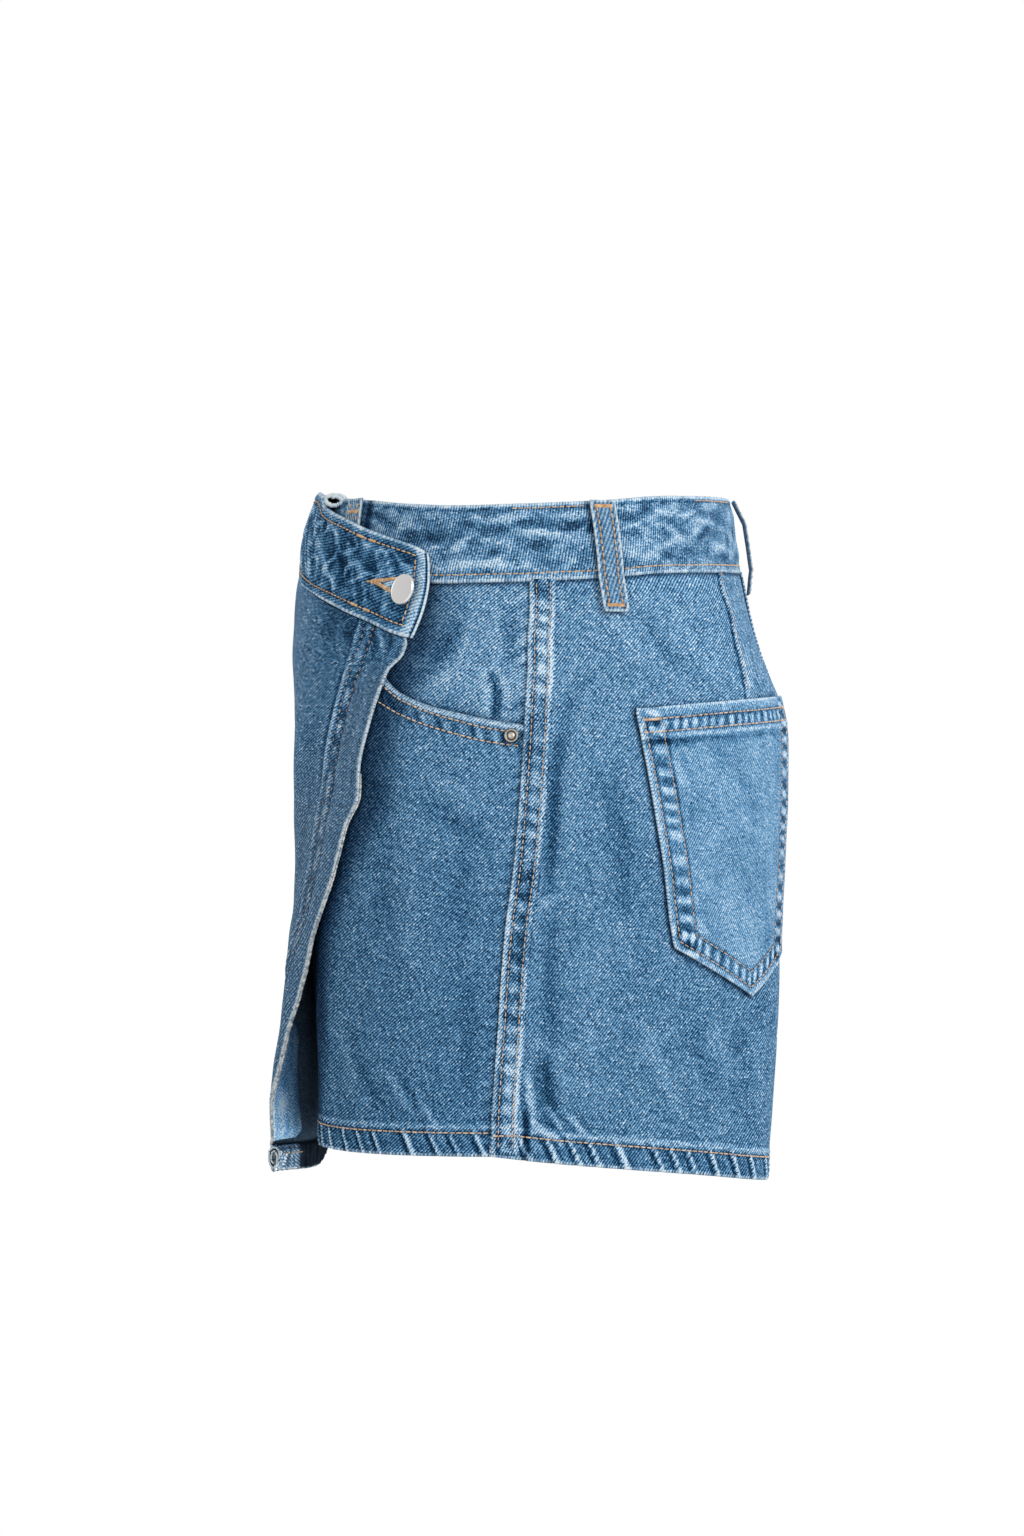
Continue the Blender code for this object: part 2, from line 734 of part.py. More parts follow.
def turned(name, profile, base, normal, colour, rough, metal, sides=28):
    """A round piece turned about its normal from (radius, height) pairs."""
    normal = np.array(normal) / np.linalg.norm(normal)
    first = np.cross(normal, (0.0, 0.0, 1.0))
    first /= np.linalg.norm(first)
    second = np.cross(normal, first)
    mesh = bpy.data.meshes.new(name)
    body = bmesh.new()
    rings = []
    for radius, height in profile:
        centre = np.array(base) + height * normal
        if radius == 0:
            rings.append([body.verts.new(centre)])
            continue
        ring = []
        for angle in np.arange(sides) * 2 * math.pi / sides:
            around = math.cos(angle) * first + math.sin(angle) * second
            ring.append(body.verts.new(centre + radius * around))
        rings.append(ring)
    for low, high in zip(rings, rings[1:]):
        for i in range(sides):
            j = (i + 1) % sides
            corners = [low[i % len(low)], low[j % len(low)], high[j % len(high)], high[i % len(high)]]
            distinct = list(dict.fromkeys(corners))
            body.faces.new(distinct)
    bmesh.ops.recalc_face_normals(body, faces=body.faces)
    body.to_mesh(mesh)
    body.free()
    mesh.shade_smooth()
    mesh.set_sharp_from_angle(angle=math.radians(35))
    made = bpy.data.objects.new(name, mesh)
    made.data.materials.append(material(name + "_finish", colour, rough, metal))
    bpy.context.scene.collection.objects.link(made)
    return made


def make_button():
    """A flat metal button on a short shank, standing on the tab."""
    normal = np.array(BUTTON_NORMAL)
    tilt_room = BUTTON_RADIUS * 0.55 * 0.35
    base = wrap_band_point(BUTTON_ALONG, BUTTON_DROP, -SEAM_GAP - tilt_room)
    r, h = BUTTON_RADIUS, BUTTON_HEIGHT
    profile = [
        (0, 0), (r * 0.55, 0), (r * 0.55, h * 0.45), (r * 0.93, h * 0.50),
        (r, h * 0.62), (r, h * 0.86), (r * 0.95, h), (r * 0.90, h * 0.96), (0, h * 0.99),
    ]
    return turned("button", profile, base, normal, NICKEL, 0.35, 1.0)


def make_rivet():
    normal = body_normal(RIVET_Z, RIVET_FROM_SEAM, FRONT)
    base = off_body(RIVET_Z, RIVET_FROM_SEAM, FRONT, LEFT, SEAM_GAP + 0.0001)
    r, h = RIVET_RADIUS, RIVET_HEIGHT
    profile = [
        (0, 0), (r, 0), (r, h * 0.45), (r * 0.86, h * 0.70), (r * 0.62, h * 0.62),
        (r * 0.50, h * 0.70), (r * 0.34, h * 0.95), (0, h),
    ]
    return turned("pocket_rivet", profile, base, normal, NICKEL, 0.4, 1.0, sides=20)


def build():
    clear_scene()
    make_panel("back_left", BACK, LEFT, back_top, BACK_SHARES, DENIM)
    make_panel("back_right", BACK, RIGHT, back_top, BACK_SHARES, DENIM)
    make_panel("front_left", FRONT, LEFT, pocket_mouth_top, FRONT_SHARES, DENIM)
    make_panel("front_right", FRONT, RIGHT, front_top, FRONT_SHARES, DENIM)
    make_bearer()
    make_side_seam("side_seam_left", LEFT)
    make_side_seam("side_seam_right", RIGHT)
    make_seat_seam()
    make_patch_pocket("back_pocket_left", LEFT)
    make_patch_pocket("back_pocket_right", RIGHT)
    make_waistband()
    make_wrap_panel()
    make_wrap_facing()
    make_wrap_band()
    for name, sizes in BELT_LOOPS.items():
        make_loop(name, *sizes)
    make_button()
    make_rivet()


build()
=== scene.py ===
# %% [markdown]
# # A denim skort
# The garment is shorts with a wrap panel buttoned over their front. It is shown as
# worn, held up and filled out, with nobody inside. Every piece of cloth is made the
# same way: a grid of points on the garment's form, lifted by its folds and puckers,
# then given a second sheet behind it and rounded edges. First the fixed frame is loaded.

# %% Load the frame
import math

import bpy
import numpy as np
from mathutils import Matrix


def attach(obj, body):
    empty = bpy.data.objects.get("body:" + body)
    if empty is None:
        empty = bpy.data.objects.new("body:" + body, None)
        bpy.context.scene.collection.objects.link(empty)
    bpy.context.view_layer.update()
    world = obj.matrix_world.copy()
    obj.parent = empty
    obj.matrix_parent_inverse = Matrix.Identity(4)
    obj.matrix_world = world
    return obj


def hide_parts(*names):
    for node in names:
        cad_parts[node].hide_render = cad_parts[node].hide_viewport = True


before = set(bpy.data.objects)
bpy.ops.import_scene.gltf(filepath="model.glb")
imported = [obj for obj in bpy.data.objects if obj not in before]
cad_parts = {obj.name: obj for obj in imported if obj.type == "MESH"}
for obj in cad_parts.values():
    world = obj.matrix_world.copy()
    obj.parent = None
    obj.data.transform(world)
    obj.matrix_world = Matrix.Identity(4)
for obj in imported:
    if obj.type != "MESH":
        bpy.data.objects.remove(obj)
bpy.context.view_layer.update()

print("frame:", len(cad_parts), "nodes, one body")

# %% [markdown]
# ## Camera, floor and light
# A garment on a catalogue page is seen level, from its left side, against white. A long
# lens 2 m away keeps its outline calm. The floor lies well below, because nothing stands
# on it. Soft light comes from large area lamps, with a white world for the fill. The
# world looks whiter to the camera than it lights the cloth, so folds keep their depth.

# %% Camera
VIEW_DISTANCE = 2.0
FRAME_HEIGHT = 0.8448
SENSOR_HEIGHT = 24.0
AIM = (0.0, -0.0099, -0.147)

scene = bpy.context.scene


def add(name, data):
    """A new object, in the scene."""
    made = bpy.data.objects.new(name, data)
    scene.collection.objects.link(made)
    return made


def build(name, vertices, faces, *finishes):
    """A new mesh in its materials."""
    mesh = bpy.data.meshes.new(name)
    mesh.from_pydata(vertices, [], faces)
    for finish in finishes:
        mesh.materials.append(finish)
    return mesh


camera_data = bpy.data.cameras.new("camera")
camera_data.sensor_fit = "VERTICAL"
camera_data.sensor_height = SENSOR_HEIGHT
camera_data.lens = SENSOR_HEIGHT * VIEW_DISTANCE / FRAME_HEIGHT
camera = add("camera", camera_data)
camera.location = (VIEW_DISTANCE, AIM[1], AIM[2])
camera.rotation_euler = (math.radians(90), 0, math.radians(90))
bpy.context.scene.camera = camera
print("camera lens: %.1f mm" % camera_data.lens)


# %% Shader maths written as Python
def sum_of(operation):
    """An operator that adds one maths node."""
    return lambda self, other: self.maths(operation, other)


class Value:
    """A shader socket that can be used in sums, so that a mask reads like a formula."""

    def __init__(self, paint, socket):
        self.paint, self.socket = paint, socket

    def maths(self, operation, *others):
        inputs = dict(enumerate((self, *others)))
        return self.paint.node("ShaderNodeMath", {"operation": operation}, inputs)

    def __rsub__(self, other):
        return self.paint.node("ShaderNodeMath", {"operation": "SUBTRACT"}, {0: other, 1: self})

    __add__ = __radd__ = sum_of("ADD")
    __mul__ = __rmul__ = sum_of("MULTIPLY")
    __sub__ = sum_of("SUBTRACT")
    __truediv__ = sum_of("DIVIDE")
    __pow__ = sum_of("POWER")


# %% Materials
class Paint:
    """One material, and the one method that adds any node to it."""

    def __init__(self, name, roughness=0.95, specular=0.06):
        self.material = bpy.data.materials.new(name)
        self.material.use_nodes = True
        self.tree = self.material.node_tree
        self.surface = self.tree.nodes["Principled BSDF"]
        self.surface.inputs["Roughness"].default_value = roughness
        self.surface.inputs["Specular IOR Level"].default_value = specular

    def node(self, kind, settings=None, inputs=None, output=0):
        made = self.tree.nodes.new(kind)
        for name, value in (settings or {}).items():
            if name == "stops":
                self._set_stops(made.color_ramp, value)
            else:
                setattr(made, name, value)
        for name, value in (inputs or {}).items():
            self.feed(made.inputs[name], value)
        return Value(self, made.outputs[output])

    def feed(self, socket, value):
        if isinstance(value, Value):
            self.tree.links.new(value.socket, socket)
        else:
            socket.default_value = value

    def finish(self, **inputs):
        for name, value in inputs.items():
            self.feed(self.surface.inputs[name.replace("_", " ")], value)
        return self.material

    @staticmethod
    def _set_stops(ramp, stops):
        for place, colour in stops[1:-1]:
            ramp.elements.new(place)
        for element, (place, colour) in zip(ramp.elements, stops):
            element.position = place
            element.color = (*colour, 1.0)

    def attribute(self, name):
        return self.node("ShaderNodeAttribute", {"attribute_name": name}, output=2)

    def noise(self, vector, scale, detail=1.0, roughness=0.5):
        inputs = {"Vector": vector, "Scale": scale, "Detail": detail, "Roughness": roughness}
        return self.node("ShaderNodeTexNoise", {}, inputs)

    def combine(self, x, y, z=0.0):
        return self.node("ShaderNodeCombineXYZ", {}, {0: x, 1: y, 2: z})

    def split(self, vector):
        return [self.node("ShaderNodeSeparateXYZ", {}, {0: vector}, output=i) for i in (0, 1)]

    def scaled(self, vector, factor):
        return self.node("ShaderNodeVectorMath", {"operation": "SCALE"}, {0: vector, "Scale": factor})

    def clamped(self, value):
        return self.node("ShaderNodeClamp", {}, {0: value})

    def between(self, value, low, high):
        inputs = {"Value": value, "From Min": low, "From Max": high}
        return self.node("ShaderNodeMapRange", {"interpolation_type": "SMOOTHSTEP"}, inputs)

    def mix(self, factor, first, second, blend="MIX"):
        settings = {"data_type": "RGBA", "blend_type": blend}
        return self.node("ShaderNodeMix", settings, {0: factor, 6: first, 7: second}, output=2)

    def ramp(self, value, stops):
        return self.node("ShaderNodeValToRGB", {"stops": stops}, {0: value})

    def bump(self, height, distance, strength=1.0):
        inputs = {"Height": height, "Distance": distance, "Strength": strength}
        return self.node("ShaderNodeBump", {}, inputs)


print("shader helpers ready")

# %% World, floor and lamps
WORLD_SEEN = 1.0
WORLD_LIGHT = 0.52
FLOOR_Z = -0.85
FLOOR_RADIUS = 1.2
FLOOR_SIDES = 64

scene.view_settings.view_transform = "Standard"
world = bpy.data.worlds.new("white_room")
scene.world = world
world.use_nodes = True
background = world.node_tree.nodes["Background"]
background.inputs["Color"].default_value = (1.0, 1.0, 1.0, 1.0)
light_path = world.node_tree.nodes.new("ShaderNodeLightPath")
seen_or_fill = world.node_tree.nodes.new("ShaderNodeMapRange")
seen_or_fill.inputs["To Min"].default_value = WORLD_LIGHT
seen_or_fill.inputs["To Max"].default_value = WORLD_SEEN
world.node_tree.links.new(light_path.outputs["Is Camera Ray"], seen_or_fill.inputs["Value"])
world.node_tree.links.new(seen_or_fill.outputs["Result"], background.inputs["Strength"])


def lamp(name, place, size, watts):
    """A square softbox that faces the garment."""
    data = bpy.data.lights.new(name, "AREA")
    data.size, data.energy = size, watts
    made = add(name, data)
    made.location = place
    x, y, z = np.array(AIM) - np.array(place)
    made.rotation_euler = (math.atan2(math.hypot(x, y), -z), 0, math.atan2(y, x) - math.pi / 2)


lamp("key_softbox", (1.5, 1.3, 0.9), 1.2, 26)
lamp("fill_softbox", (1.9, -0.9, 0.3), 1.4, 8)
lamp("rim_softbox", (-0.9, 1.6, 1.0), 1.2, 16)
lamp("far_side_softbox", (-1.8, -0.6, 0.6), 1.6, 20)

turns = np.linspace(0, 2 * math.pi, FLOOR_SIDES, endpoint=False)
corners = [(FLOOR_RADIUS * math.cos(a), FLOOR_RADIUS * math.sin(a), FLOOR_Z) for a in turns]
floor_white = Paint("floor_white", roughness=0.9).finish(Base_Color=(0.86, 0.86, 0.86, 1.0))
add("floor", build("floor", corners, [tuple(range(FLOOR_SIDES))], floor_white))
print("four softboxes, a white world and a pale floor")

# %% [markdown]
# ## Denim
# Denim is a twill: blue warp threads pass over three white weft threads and under one,
# each row one thread along from the last, which draws slanted ribs. Washing rubs the
# dye off the tops of the ribs, off folded edges and off every pucker beside a seam. The
# ribs could be real threads, but at a rib every 1.28 mm that is millions of faces, so
# they are drawn by the material: a wave across the slant, broken into dashes along it,
# with pale flecks. The cloth's grids carry a few numbers for each point, such as the way
# to the nearest edge or stitched row, and the material wears and darkens the dye by them.
# Some of them are painted light and shade: a shade number darkens the cloth where light
# is kept off, and the fade number paints folds, creases and places under other pieces
# darker or paler as well as washing's wear.

# %% The denim material
MM = 0.001
RIB_PITCH = 1.28
DYE = (
    (0.00, (0.002, 0.016, 0.043)), (0.16, (0.01, 0.05, 0.11)),
    (0.32, (0.033, 0.112, 0.224)), (0.46, (0.064, 0.188, 0.356)),
    (0.6, (0.124, 0.3, 0.508)), (0.75, (0.232, 0.434, 0.64)),
    (0.88, (0.428, 0.602, 0.752)), (1.00, (0.715, 0.812, 0.874)),
)
GREY_DYE = (0.1, 0.122, 0.155, 1.0)
LINT = (0.64, 0.7, 0.71, 1.0)
# How far each mark moves the dye, from 0, its darkest, to 1, worn white.
MIDDLE_TONE = 0.47
RIB_TONE, DASH_TONE, GRAIN_TONE = 0.27, 1.38, 0.9
SPECK_TONE, PIT_TONE = 0.3, 0.24
BLOTCH_TONE, PATCH_TONE, SLUB_TONE = 0.24, 0.1, 0.08
# The crease tone is partly wash wear and partly painted light and shade: ridges paler, grooves darker.
CREASE_WEAR_AND_SHADE, EDGE_TONE, ROW_TONE = 0.24, 0.24, 0.22
ROW_WIDTH = 0.85


def denim(name, twill, tone=0.0, rib=1.0, wear=1.0, grain=1.0, pitch=RIB_PITCH, fray=0.2, painted_light=1.0):
    """Washed denim: twill is the slant of its ribs in degrees, tone how pale it is, and the last argument
    lightens the whole colour as painted light.
    """
    paint = Paint(name)
    cloth_mm = paint.scaled(paint.node("ShaderNodeUVMap", {"uv_map": "cloth"}), 1000.0)
    x, y = paint.split(cloth_mm)
    slant = math.radians(twill)
    wander = (paint.noise(cloth_mm, 0.045, 2.0) - 0.5) * 1.6
    tremble = (paint.noise(cloth_mm, 0.5, 1.0) - 0.5) * 0.45
    across = y * math.cos(slant) - x * math.sin(slant) + wander + tremble
    along = x * math.cos(slant) + y * math.sin(slant)
    phase = across / pitch
    lane = phase.maths("FLOOR")
    ribs = (phase * (2 * math.pi)).maths("SINE")
    dashes = paint.noise(paint.combine(lane * 3.71, along * 0.82), 1.0, 2.0, 0.7) - 0.5
    grains = paint.noise(cloth_mm, 1.15, 2.0, 0.7) - 0.5
    specks = paint.between(paint.noise(cloth_mm, 0.8, 1.0), 0.56, 0.72)
    pits = paint.between(paint.noise(paint.scaled(cloth_mm, 1.07), 0.62, 1.0), 0.57, 0.74)
    blotches = paint.noise(cloth_mm, 0.17, 2.0, 0.6) - 0.5
    patches = paint.noise(cloth_mm, 0.035, 3.0, 0.6) - 0.5
    slubs = paint.noise(paint.combine(x * 0.55, y * 0.018), 1.0, 2.0) - 0.5

    edge = paint.attribute("edge")
    ragged = (paint.noise(cloth_mm, 0.55, 2.0) - 0.5) * 1.8
    near_edge = 1.0 - paint.between(edge + ragged, 0.2, 1.3)
    row_a = paint.attribute("row_a") / ROW_WIDTH
    row_b = paint.attribute("row_b") / ROW_WIDTH
    groove = (0.0 - row_a * row_a).maths("EXPONENT") + (0.0 - row_b * row_b).maths("EXPONENT")
    crease = paint.attribute("crease")

    # The fade number is washing's fade and also painted light and shade: folds, creases and places under
    # other pieces are painted darker or paler.
    dye = MIDDLE_TONE + tone + paint.attribute("fade")
    dye = dye + ribs * (RIB_TONE * rib) + dashes * (DASH_TONE * rib) + grains * (GRAIN_TONE * grain)
    dye = dye + specks * (SPECK_TONE * rib) - pits * (PIT_TONE * rib)
    dye = dye + blotches * BLOTCH_TONE + patches * PATCH_TONE + slubs * SLUB_TONE
    dye = dye + crease * CREASE_WEAR_AND_SHADE + near_edge * (EDGE_TONE * wear) - groove * ROW_TONE
    colour = paint.ramp(paint.clamped(dye), DYE)
    colour = paint.mix(paint.attribute("grey"), colour, GREY_DYE)
    lint = paint.between(paint.noise(cloth_mm, 1.6, 1.0), 0.36, 0.5)
    colour = paint.mix(near_edge * lint * fray, colour, LINT)
    # Painted shade: the shade number darkens the colour where light is kept off, bluer in deeper shade, and
    # the last argument lightens it all as painted light.
    shade = paint.attribute("shade")
    dark = paint.scaled(paint.combine(shade ** 1.2, shade, shade ** 0.85), painted_light)
    colour = paint.mix(1.0, colour, dark, "MULTIPLY")
    height = ribs * 0.5 + dashes * 1.2 - groove * 2.0
    return paint.finish(Base_Color=colour, Normal=paint.bump(height, 0.00012, 0.6))


DENIM_FRONT = denim("denim_front", 46, tone=-0.04)
DENIM_HIP = denim("denim_hip", 42, tone=0.046, grain=1.3)
DENIM_BACK = denim("denim_back", 54, tone=0.022)
DENIM_POCKET = denim("denim_pocket", 62, tone=0.085, rib=0.75)
DENIM_BAND = denim("denim_band", 82, tone=0.038, rib=0.9, grain=1.4, pitch=1.44)
DENIM_STRIP = denim("denim_strip", 56, tone=-0.045, rib=1.15, grain=1.8)
DENIM_LOOP = denim("denim_loop", 66, tone=0.05, rib=0.8, wear=1.5, pitch=1.9, fray=0.35)
DENIM_WRAP = denim("denim_wrap", 47, tone=-0.045, rib=0.85, grain=1.9, fray=0.9)
DENIM_TAB = denim("denim_tab", 34, tone=-0.1, rib=0.7, wear=1.6, grain=1.1, pitch=1.25, fray=0.3)
# The facing's denim is painted lighter as a whole, because it lies in shade inside the wrap.
DENIM_FACING = denim("denim_facing", 50, tone=0.1, rib=0.26, wear=0.6, grain=1.6, painted_light=1.85)
DENIM_INSIDE = denim("denim_inside", 130, tone=0.12, rib=0.7)
print("eleven denims, from the grey wrap to the pale pocket")

# %% [markdown]
# ## The garment's form
# The shorts are two rounded lobes, one for each leg, that merge towards the waist. Level
# sections through them are worked out from a short table: how far the side seam stands
# out, where the front and back are, and how round each is. Reading the table smoothly at
# every millimetre gives a surface that any piece can be laid on, by its height and the
# way round from the side seam.


# %% Tables read smoothly
class Table:
    """Rows of named columns in millimetres, read smoothly between the rows."""

    def __init__(self, names, rows, plain=""):
        names = names.split()
        data = np.array(rows, float) * np.array([1.0 if name == plain else MM for name in names])
        data = data[np.argsort(data[:, 0])]
        self.keys = data[:, 0]
        self.columns = {name: data[:, i] for i, name in enumerate(names)}
        self.slopes = {name: self._slopes(column) for name, column in self.columns.items()}

    def _slopes(self, values):
        rises = np.diff(values) / np.diff(self.keys)
        total = rises[1:] + rises[:-1]
        product = rises[1:] * rises[:-1]
        inner = np.where(product > 0, 2 * product / np.where(total == 0, 1, total), 0.0)
        return np.concatenate([rises[:1], inner, rises[-1:]])

    def read(self, name, key):
        key = np.clip(key, self.keys[0], self.keys[-1])
        row = np.clip(np.searchsorted(self.keys, key) - 1, 0, len(self.keys) - 2)
        step = self.keys[row + 1] - self.keys[row]
        t = (key - self.keys[row]) / step
        low, high = self.columns[name][row], self.columns[name][row + 1]
        slope_low, slope_high = self.slopes[name][row], self.slopes[name][row + 1]
        flat = low * (1 + 2 * t) * (1 - t) ** 2 + high * t * t * (3 - 2 * t)
        return flat + step * (slope_low * t * (1 - t) ** 2 - slope_high * t * t * (1 - t))


BODY = Table("z side split seam_y front back inner", [
    (2, 129.0, 0, 1, -109.0, 108.0, 2.2), (-12, 130.5, 0, 1, -112.5, 110.0, 2.2),
    (-39, 134.0, 0, 0, -118.5, 114.0, 2.2), (-51, 137.0, 0, -1, -120.5, 116.5, 2.2),
    (-66, 142.5, 6, -1, -121.5, 119.5, 2.6), (-81, 147.5, 14, -2, -122.0, 123.5, 3.2),
    (-95, 151.5, 24, -2, -122.0, 128.5, 3.6), (-110, 155.5, 33, -3, -122.0, 134.0, 3.8),
    (-131, 160.0, 43, -4, -121.5, 138.0, 3.8), (-160, 166.0, 53, -6, -120.0, 137.0, 3.6),
    (-197, 171.0, 65, -9.3, -118.0, 134.5, 3.4), (-227, 173.5, 74, -13.4, -115.5, 132.0, 3.2),
    (-255, 174.5, 81, -15.8, -113.5, 131.0, 3.1), (-275, 175.0, 86, -17, -112.5, 130.0, 3.0),
    (-302, 175.5, 89, -19, -111.5, 128.2, 2.8), (-325, 175.5, 90, -20.3, -111.0, 126.6, 2.7),
    (-347, 176.0, 90.5, -20.5, -111.0, 125.0, 2.7), (-366, 176.5, 91, -20.5, -111.0, 124.0, 2.7),
], plain="inner")
LEG_HEM = Table("share front back", [
    (0.00, -341.0, -341.0), (0.08, -341.0, -344.5), (0.2, -341.3, -349.0), (0.3, -341.7, -353.2),
    (0.4, -342.1, -358.2), (0.5, -342.5, -362.0), (0.6, -343.3, -363.0), (0.75, -346.0, -360.0),
    (1.00, -353.0, -353.0),
], plain="share")
BAND_TOP = Table("share front back", [
    (0.00, -12.0, -12.0), (0.2, -12.6, -9.8), (0.35, -10.8, -6.8),
    (0.5, -7.5, -5.2), (0.75, -3.0, -3.0), (1.00, 0.0, -1.0),
], plain="share")
print("body table:", len(BODY.keys), "heights")

# %% Level sections
LEFT, RIGHT = 1, -1
FRONT, BACK = -1, 1
COLUMN = {FRONT: "front", BACK: "back"}
SIDE_POWER = 2.2
SECTION_STEPS = 160
LEVEL_STEP = 0.001
LOWEST_LEVEL = -0.368
HIGHEST_LEVEL = 0.004


def signed_power(value, power):
    return np.sign(value) * np.abs(value) ** power


def lobe(z, turn):
    """One leg's outside: turn is 0 at the side seam and a half turn at the inseam."""
    split = BODY.read("split", z)
    half_width = BODY.read("side", z) - split
    seam_y = BODY.read("seam_y", z)
    reach = np.where(turn < 0, seam_y - BODY.read("front", z), BODY.read("back", z) - seam_y)
    power = np.where(np.abs(turn) <= math.pi / 2, SIDE_POWER, BODY.read("inner", z))
    x = split + half_width * signed_power(np.cos(turn), 2 / power)
    y = seam_y + reach * signed_power(np.sin(turn), 2 / power)
    return x, y


def lengths(x, y):
    return np.concatenate([[0.0], np.cumsum(np.hypot(np.diff(x), np.diff(y)))])


def quarter(z, way):
    """The section from the left side seam to the middle, or to the inseam lower down."""
    x, y = lobe(z, way * np.linspace(0, math.pi, SECTION_STEPS * 2 + 1))
    if x[-1] < 0:
        last = int(np.argmax(x < 0))
        share = x[last - 1] / (x[last - 1] - x[last])
        y_middle = y[last - 1] + share * (y[last] - y[last - 1])
        x, y = np.append(x[:last], 0.0), np.append(y[:last], y_middle)
    return x, y


# %% The surface
class Form:
    """A surface through level sections, read at a height and a way along the section."""

    def __init__(self, section, low, high, columns=400):
        self.low, self.columns = low, columns
        sections, runs = [], []
        for z in np.arange(low, high + LEVEL_STEP / 2, LEVEL_STEP):
            x, y = section(z)
            run = lengths(x, y)
            even = np.linspace(0, run[-1], columns)
            x, y = np.interp(even, run, x), np.interp(even, run, y)
            sections.append(np.stack([x, y, np.full(columns, z)], 1))
            runs.append(run[-1])
        self.points, self.runs = np.array(sections), np.array(runs)
        normals = np.cross(np.gradient(self.points, axis=1), np.gradient(self.points, axis=0))
        normals /= np.linalg.norm(normals, axis=2, keepdims=True)
        outward = (normals[:, 3, :2] * self.points[:, 3, :2]).sum()
        self.normals = normals * np.sign(outward)

    def length(self, z):
        place = np.clip((z - self.low) / LEVEL_STEP, 0, len(self.runs) - 1.001)
        row = place.astype(int) if isinstance(place, np.ndarray) else int(place)
        return self.runs[row] + (place - row) * (self.runs[row + 1] - self.runs[row])

    def read(self, z, run, side=LEFT):
        """Points and normals; a run past the middle comes out on the other side."""
        z, run = np.broadcast_arrays(np.asarray(z, float), np.asarray(run, float))
        length = self.length(z)
        past = run > length
        run = np.where(past, 2 * length - run, run)
        down = np.clip((z - self.low) / LEVEL_STEP, 0, len(self.runs) - 1.001)
        across = np.clip(run / length * (self.columns - 1), 0, self.columns - 1.001)
        i, j = down.astype(int), across.astype(int)
        s, t = (down - i)[..., None], (across - j)[..., None]
        both = []
        for field in (self.points, self.normals):
            upper = field[i, j] * (1 - t) + field[i, j + 1] * t
            lower = field[i + 1, j] * (1 - t) + field[i + 1, j + 1] * t
            both.append(upper * (1 - s) + lower * s)
        points, normals = both
        flip = side * np.where(past, -1.0, 1.0)
        points[..., 0] *= flip
        normals[..., 0] *= flip
        points[..., 2] = z
        return points, normals / np.linalg.norm(normals, axis=-1, keepdims=True)


QUARTERS = {way: Form(lambda z: quarter(z, way), LOWEST_LEVEL, HIGHEST_LEVEL) for way in (FRONT, BACK)}
print("quarter round at the waist: %.0f mm" % (1000 * QUARTERS[FRONT].length(-0.02)))

# %% [markdown]
# ## Cloth from a grid
# A piece of cloth has two faces and an edge that is never a knife cut: it is folded or
# rolled. Each piece starts as a grid of points with their outward directions. The folds
# lift the grid, a second sheet is laid behind it at the cloth's thickness, and a few
# rows of points round the border from one sheet to the other. The same function writes
# the numbers that the denim reads and a map in metres for its ribs.

# %% Folds and puckers
LATTICE = 97


def ease(low, high, value):
    t = np.clip((value - low) / (high - low), 0, 1)
    return t * t * (3 - 2 * t)


def bell(off, width):
    """1 where off is nothing, dying away over about a width on either side."""
    return np.exp(-((off / width) ** 2))


def flat_bell(off, width):
    """A bell with a flatter top and steeper sides."""
    return np.exp(-((off / width) ** 4))


def arch(share):
    """From 0 at the start up to 1 half way, and down to 0 at the end."""
    return np.sin(math.pi * np.clip(share, 0, 1))


def folds(rows, across, height):
    """Soft ridges, or troughs where lift is negative, each from one point to another.

    A row is across and height at both ends, the fold's width, its lift and its bow."""
    total = np.zeros(np.broadcast(across, height).shape)
    for u0, z0, u1, z1, width, lift, bow in np.array(rows, float) * MM:
        run = math.hypot(u1 - u0, z1 - z0)
        du, dz = (u1 - u0) / run, (z1 - z0) / run
        t = ((across - u0) * du + (height - z0) * dz) / run
        off = (across - u0) * dz - (height - z0) * du - bow * 4 * t * (1 - t)
        total += lift * arch(t) ** 0.8 * bell(off, width)
    return total


def uneven(along, spacing, seed, lowest):
    """The turns of a wave whose crests are unevenly spaced, and its uneven heights."""
    draw = np.random.default_rng(seed)
    knots = np.arange(-0.2, 1.2, spacing * 1.7)
    drift = np.interp(along, knots, draw.uniform(-0.42, 0.42, len(knots)))
    height = np.interp(along, knots + spacing, draw.uniform(lowest, 1.0, len(knots)))
    return 2 * math.pi * (along / spacing + drift), height


def uneven_wave(along, spacing, seed):
    """A wave whose crests are unevenly spaced and unevenly high, as puckers are."""
    turn, height = uneven(along, spacing, seed, 0.35)
    return height * np.sin(turn)


def crests(along, spacing, seed, sharp):
    """Thin ridges standing at uneven distances, each from 0 to 1 high."""
    turn, height = uneven(along, spacing, seed, 0.45)
    return height * np.exp(sharp * (np.cos(turn) - 1))


def lumps(u, v, wide, tall, seed, turn=0.0):
    """Smooth uneven humps and hollows, each about wide by tall, from -1 to 1."""
    turn = math.radians(turn)
    a = (u * math.cos(turn) + v * math.sin(turn)) / wide
    b = (v * math.cos(turn) - u * math.sin(turn)) / tall
    heights = np.random.default_rng(seed).uniform(-1, 1, (LATTICE, LATTICE))
    i, j = np.floor(a).astype(int), np.floor(b).astype(int)
    s, t = ease(0, 1, a - i), ease(0, 1, b - j)

    def corner(di, dj):
        return heights[(i + di) % LATTICE, (j + dj) % LATTICE]

    near = corner(0, 0) * (1 - s) + corner(1, 0) * s
    far = corner(0, 1) * (1 - s) + corner(1, 1) * s
    return near * (1 - t) + far * t


def creased(u, v, wide, tall, seed, turn=0.0, thin=0.2):
    """Thin crooked ridges, 1 along their crests, as cloth crumples between two rows."""
    return bell(lumps(u, v, wide, tall, seed, turn), thin)


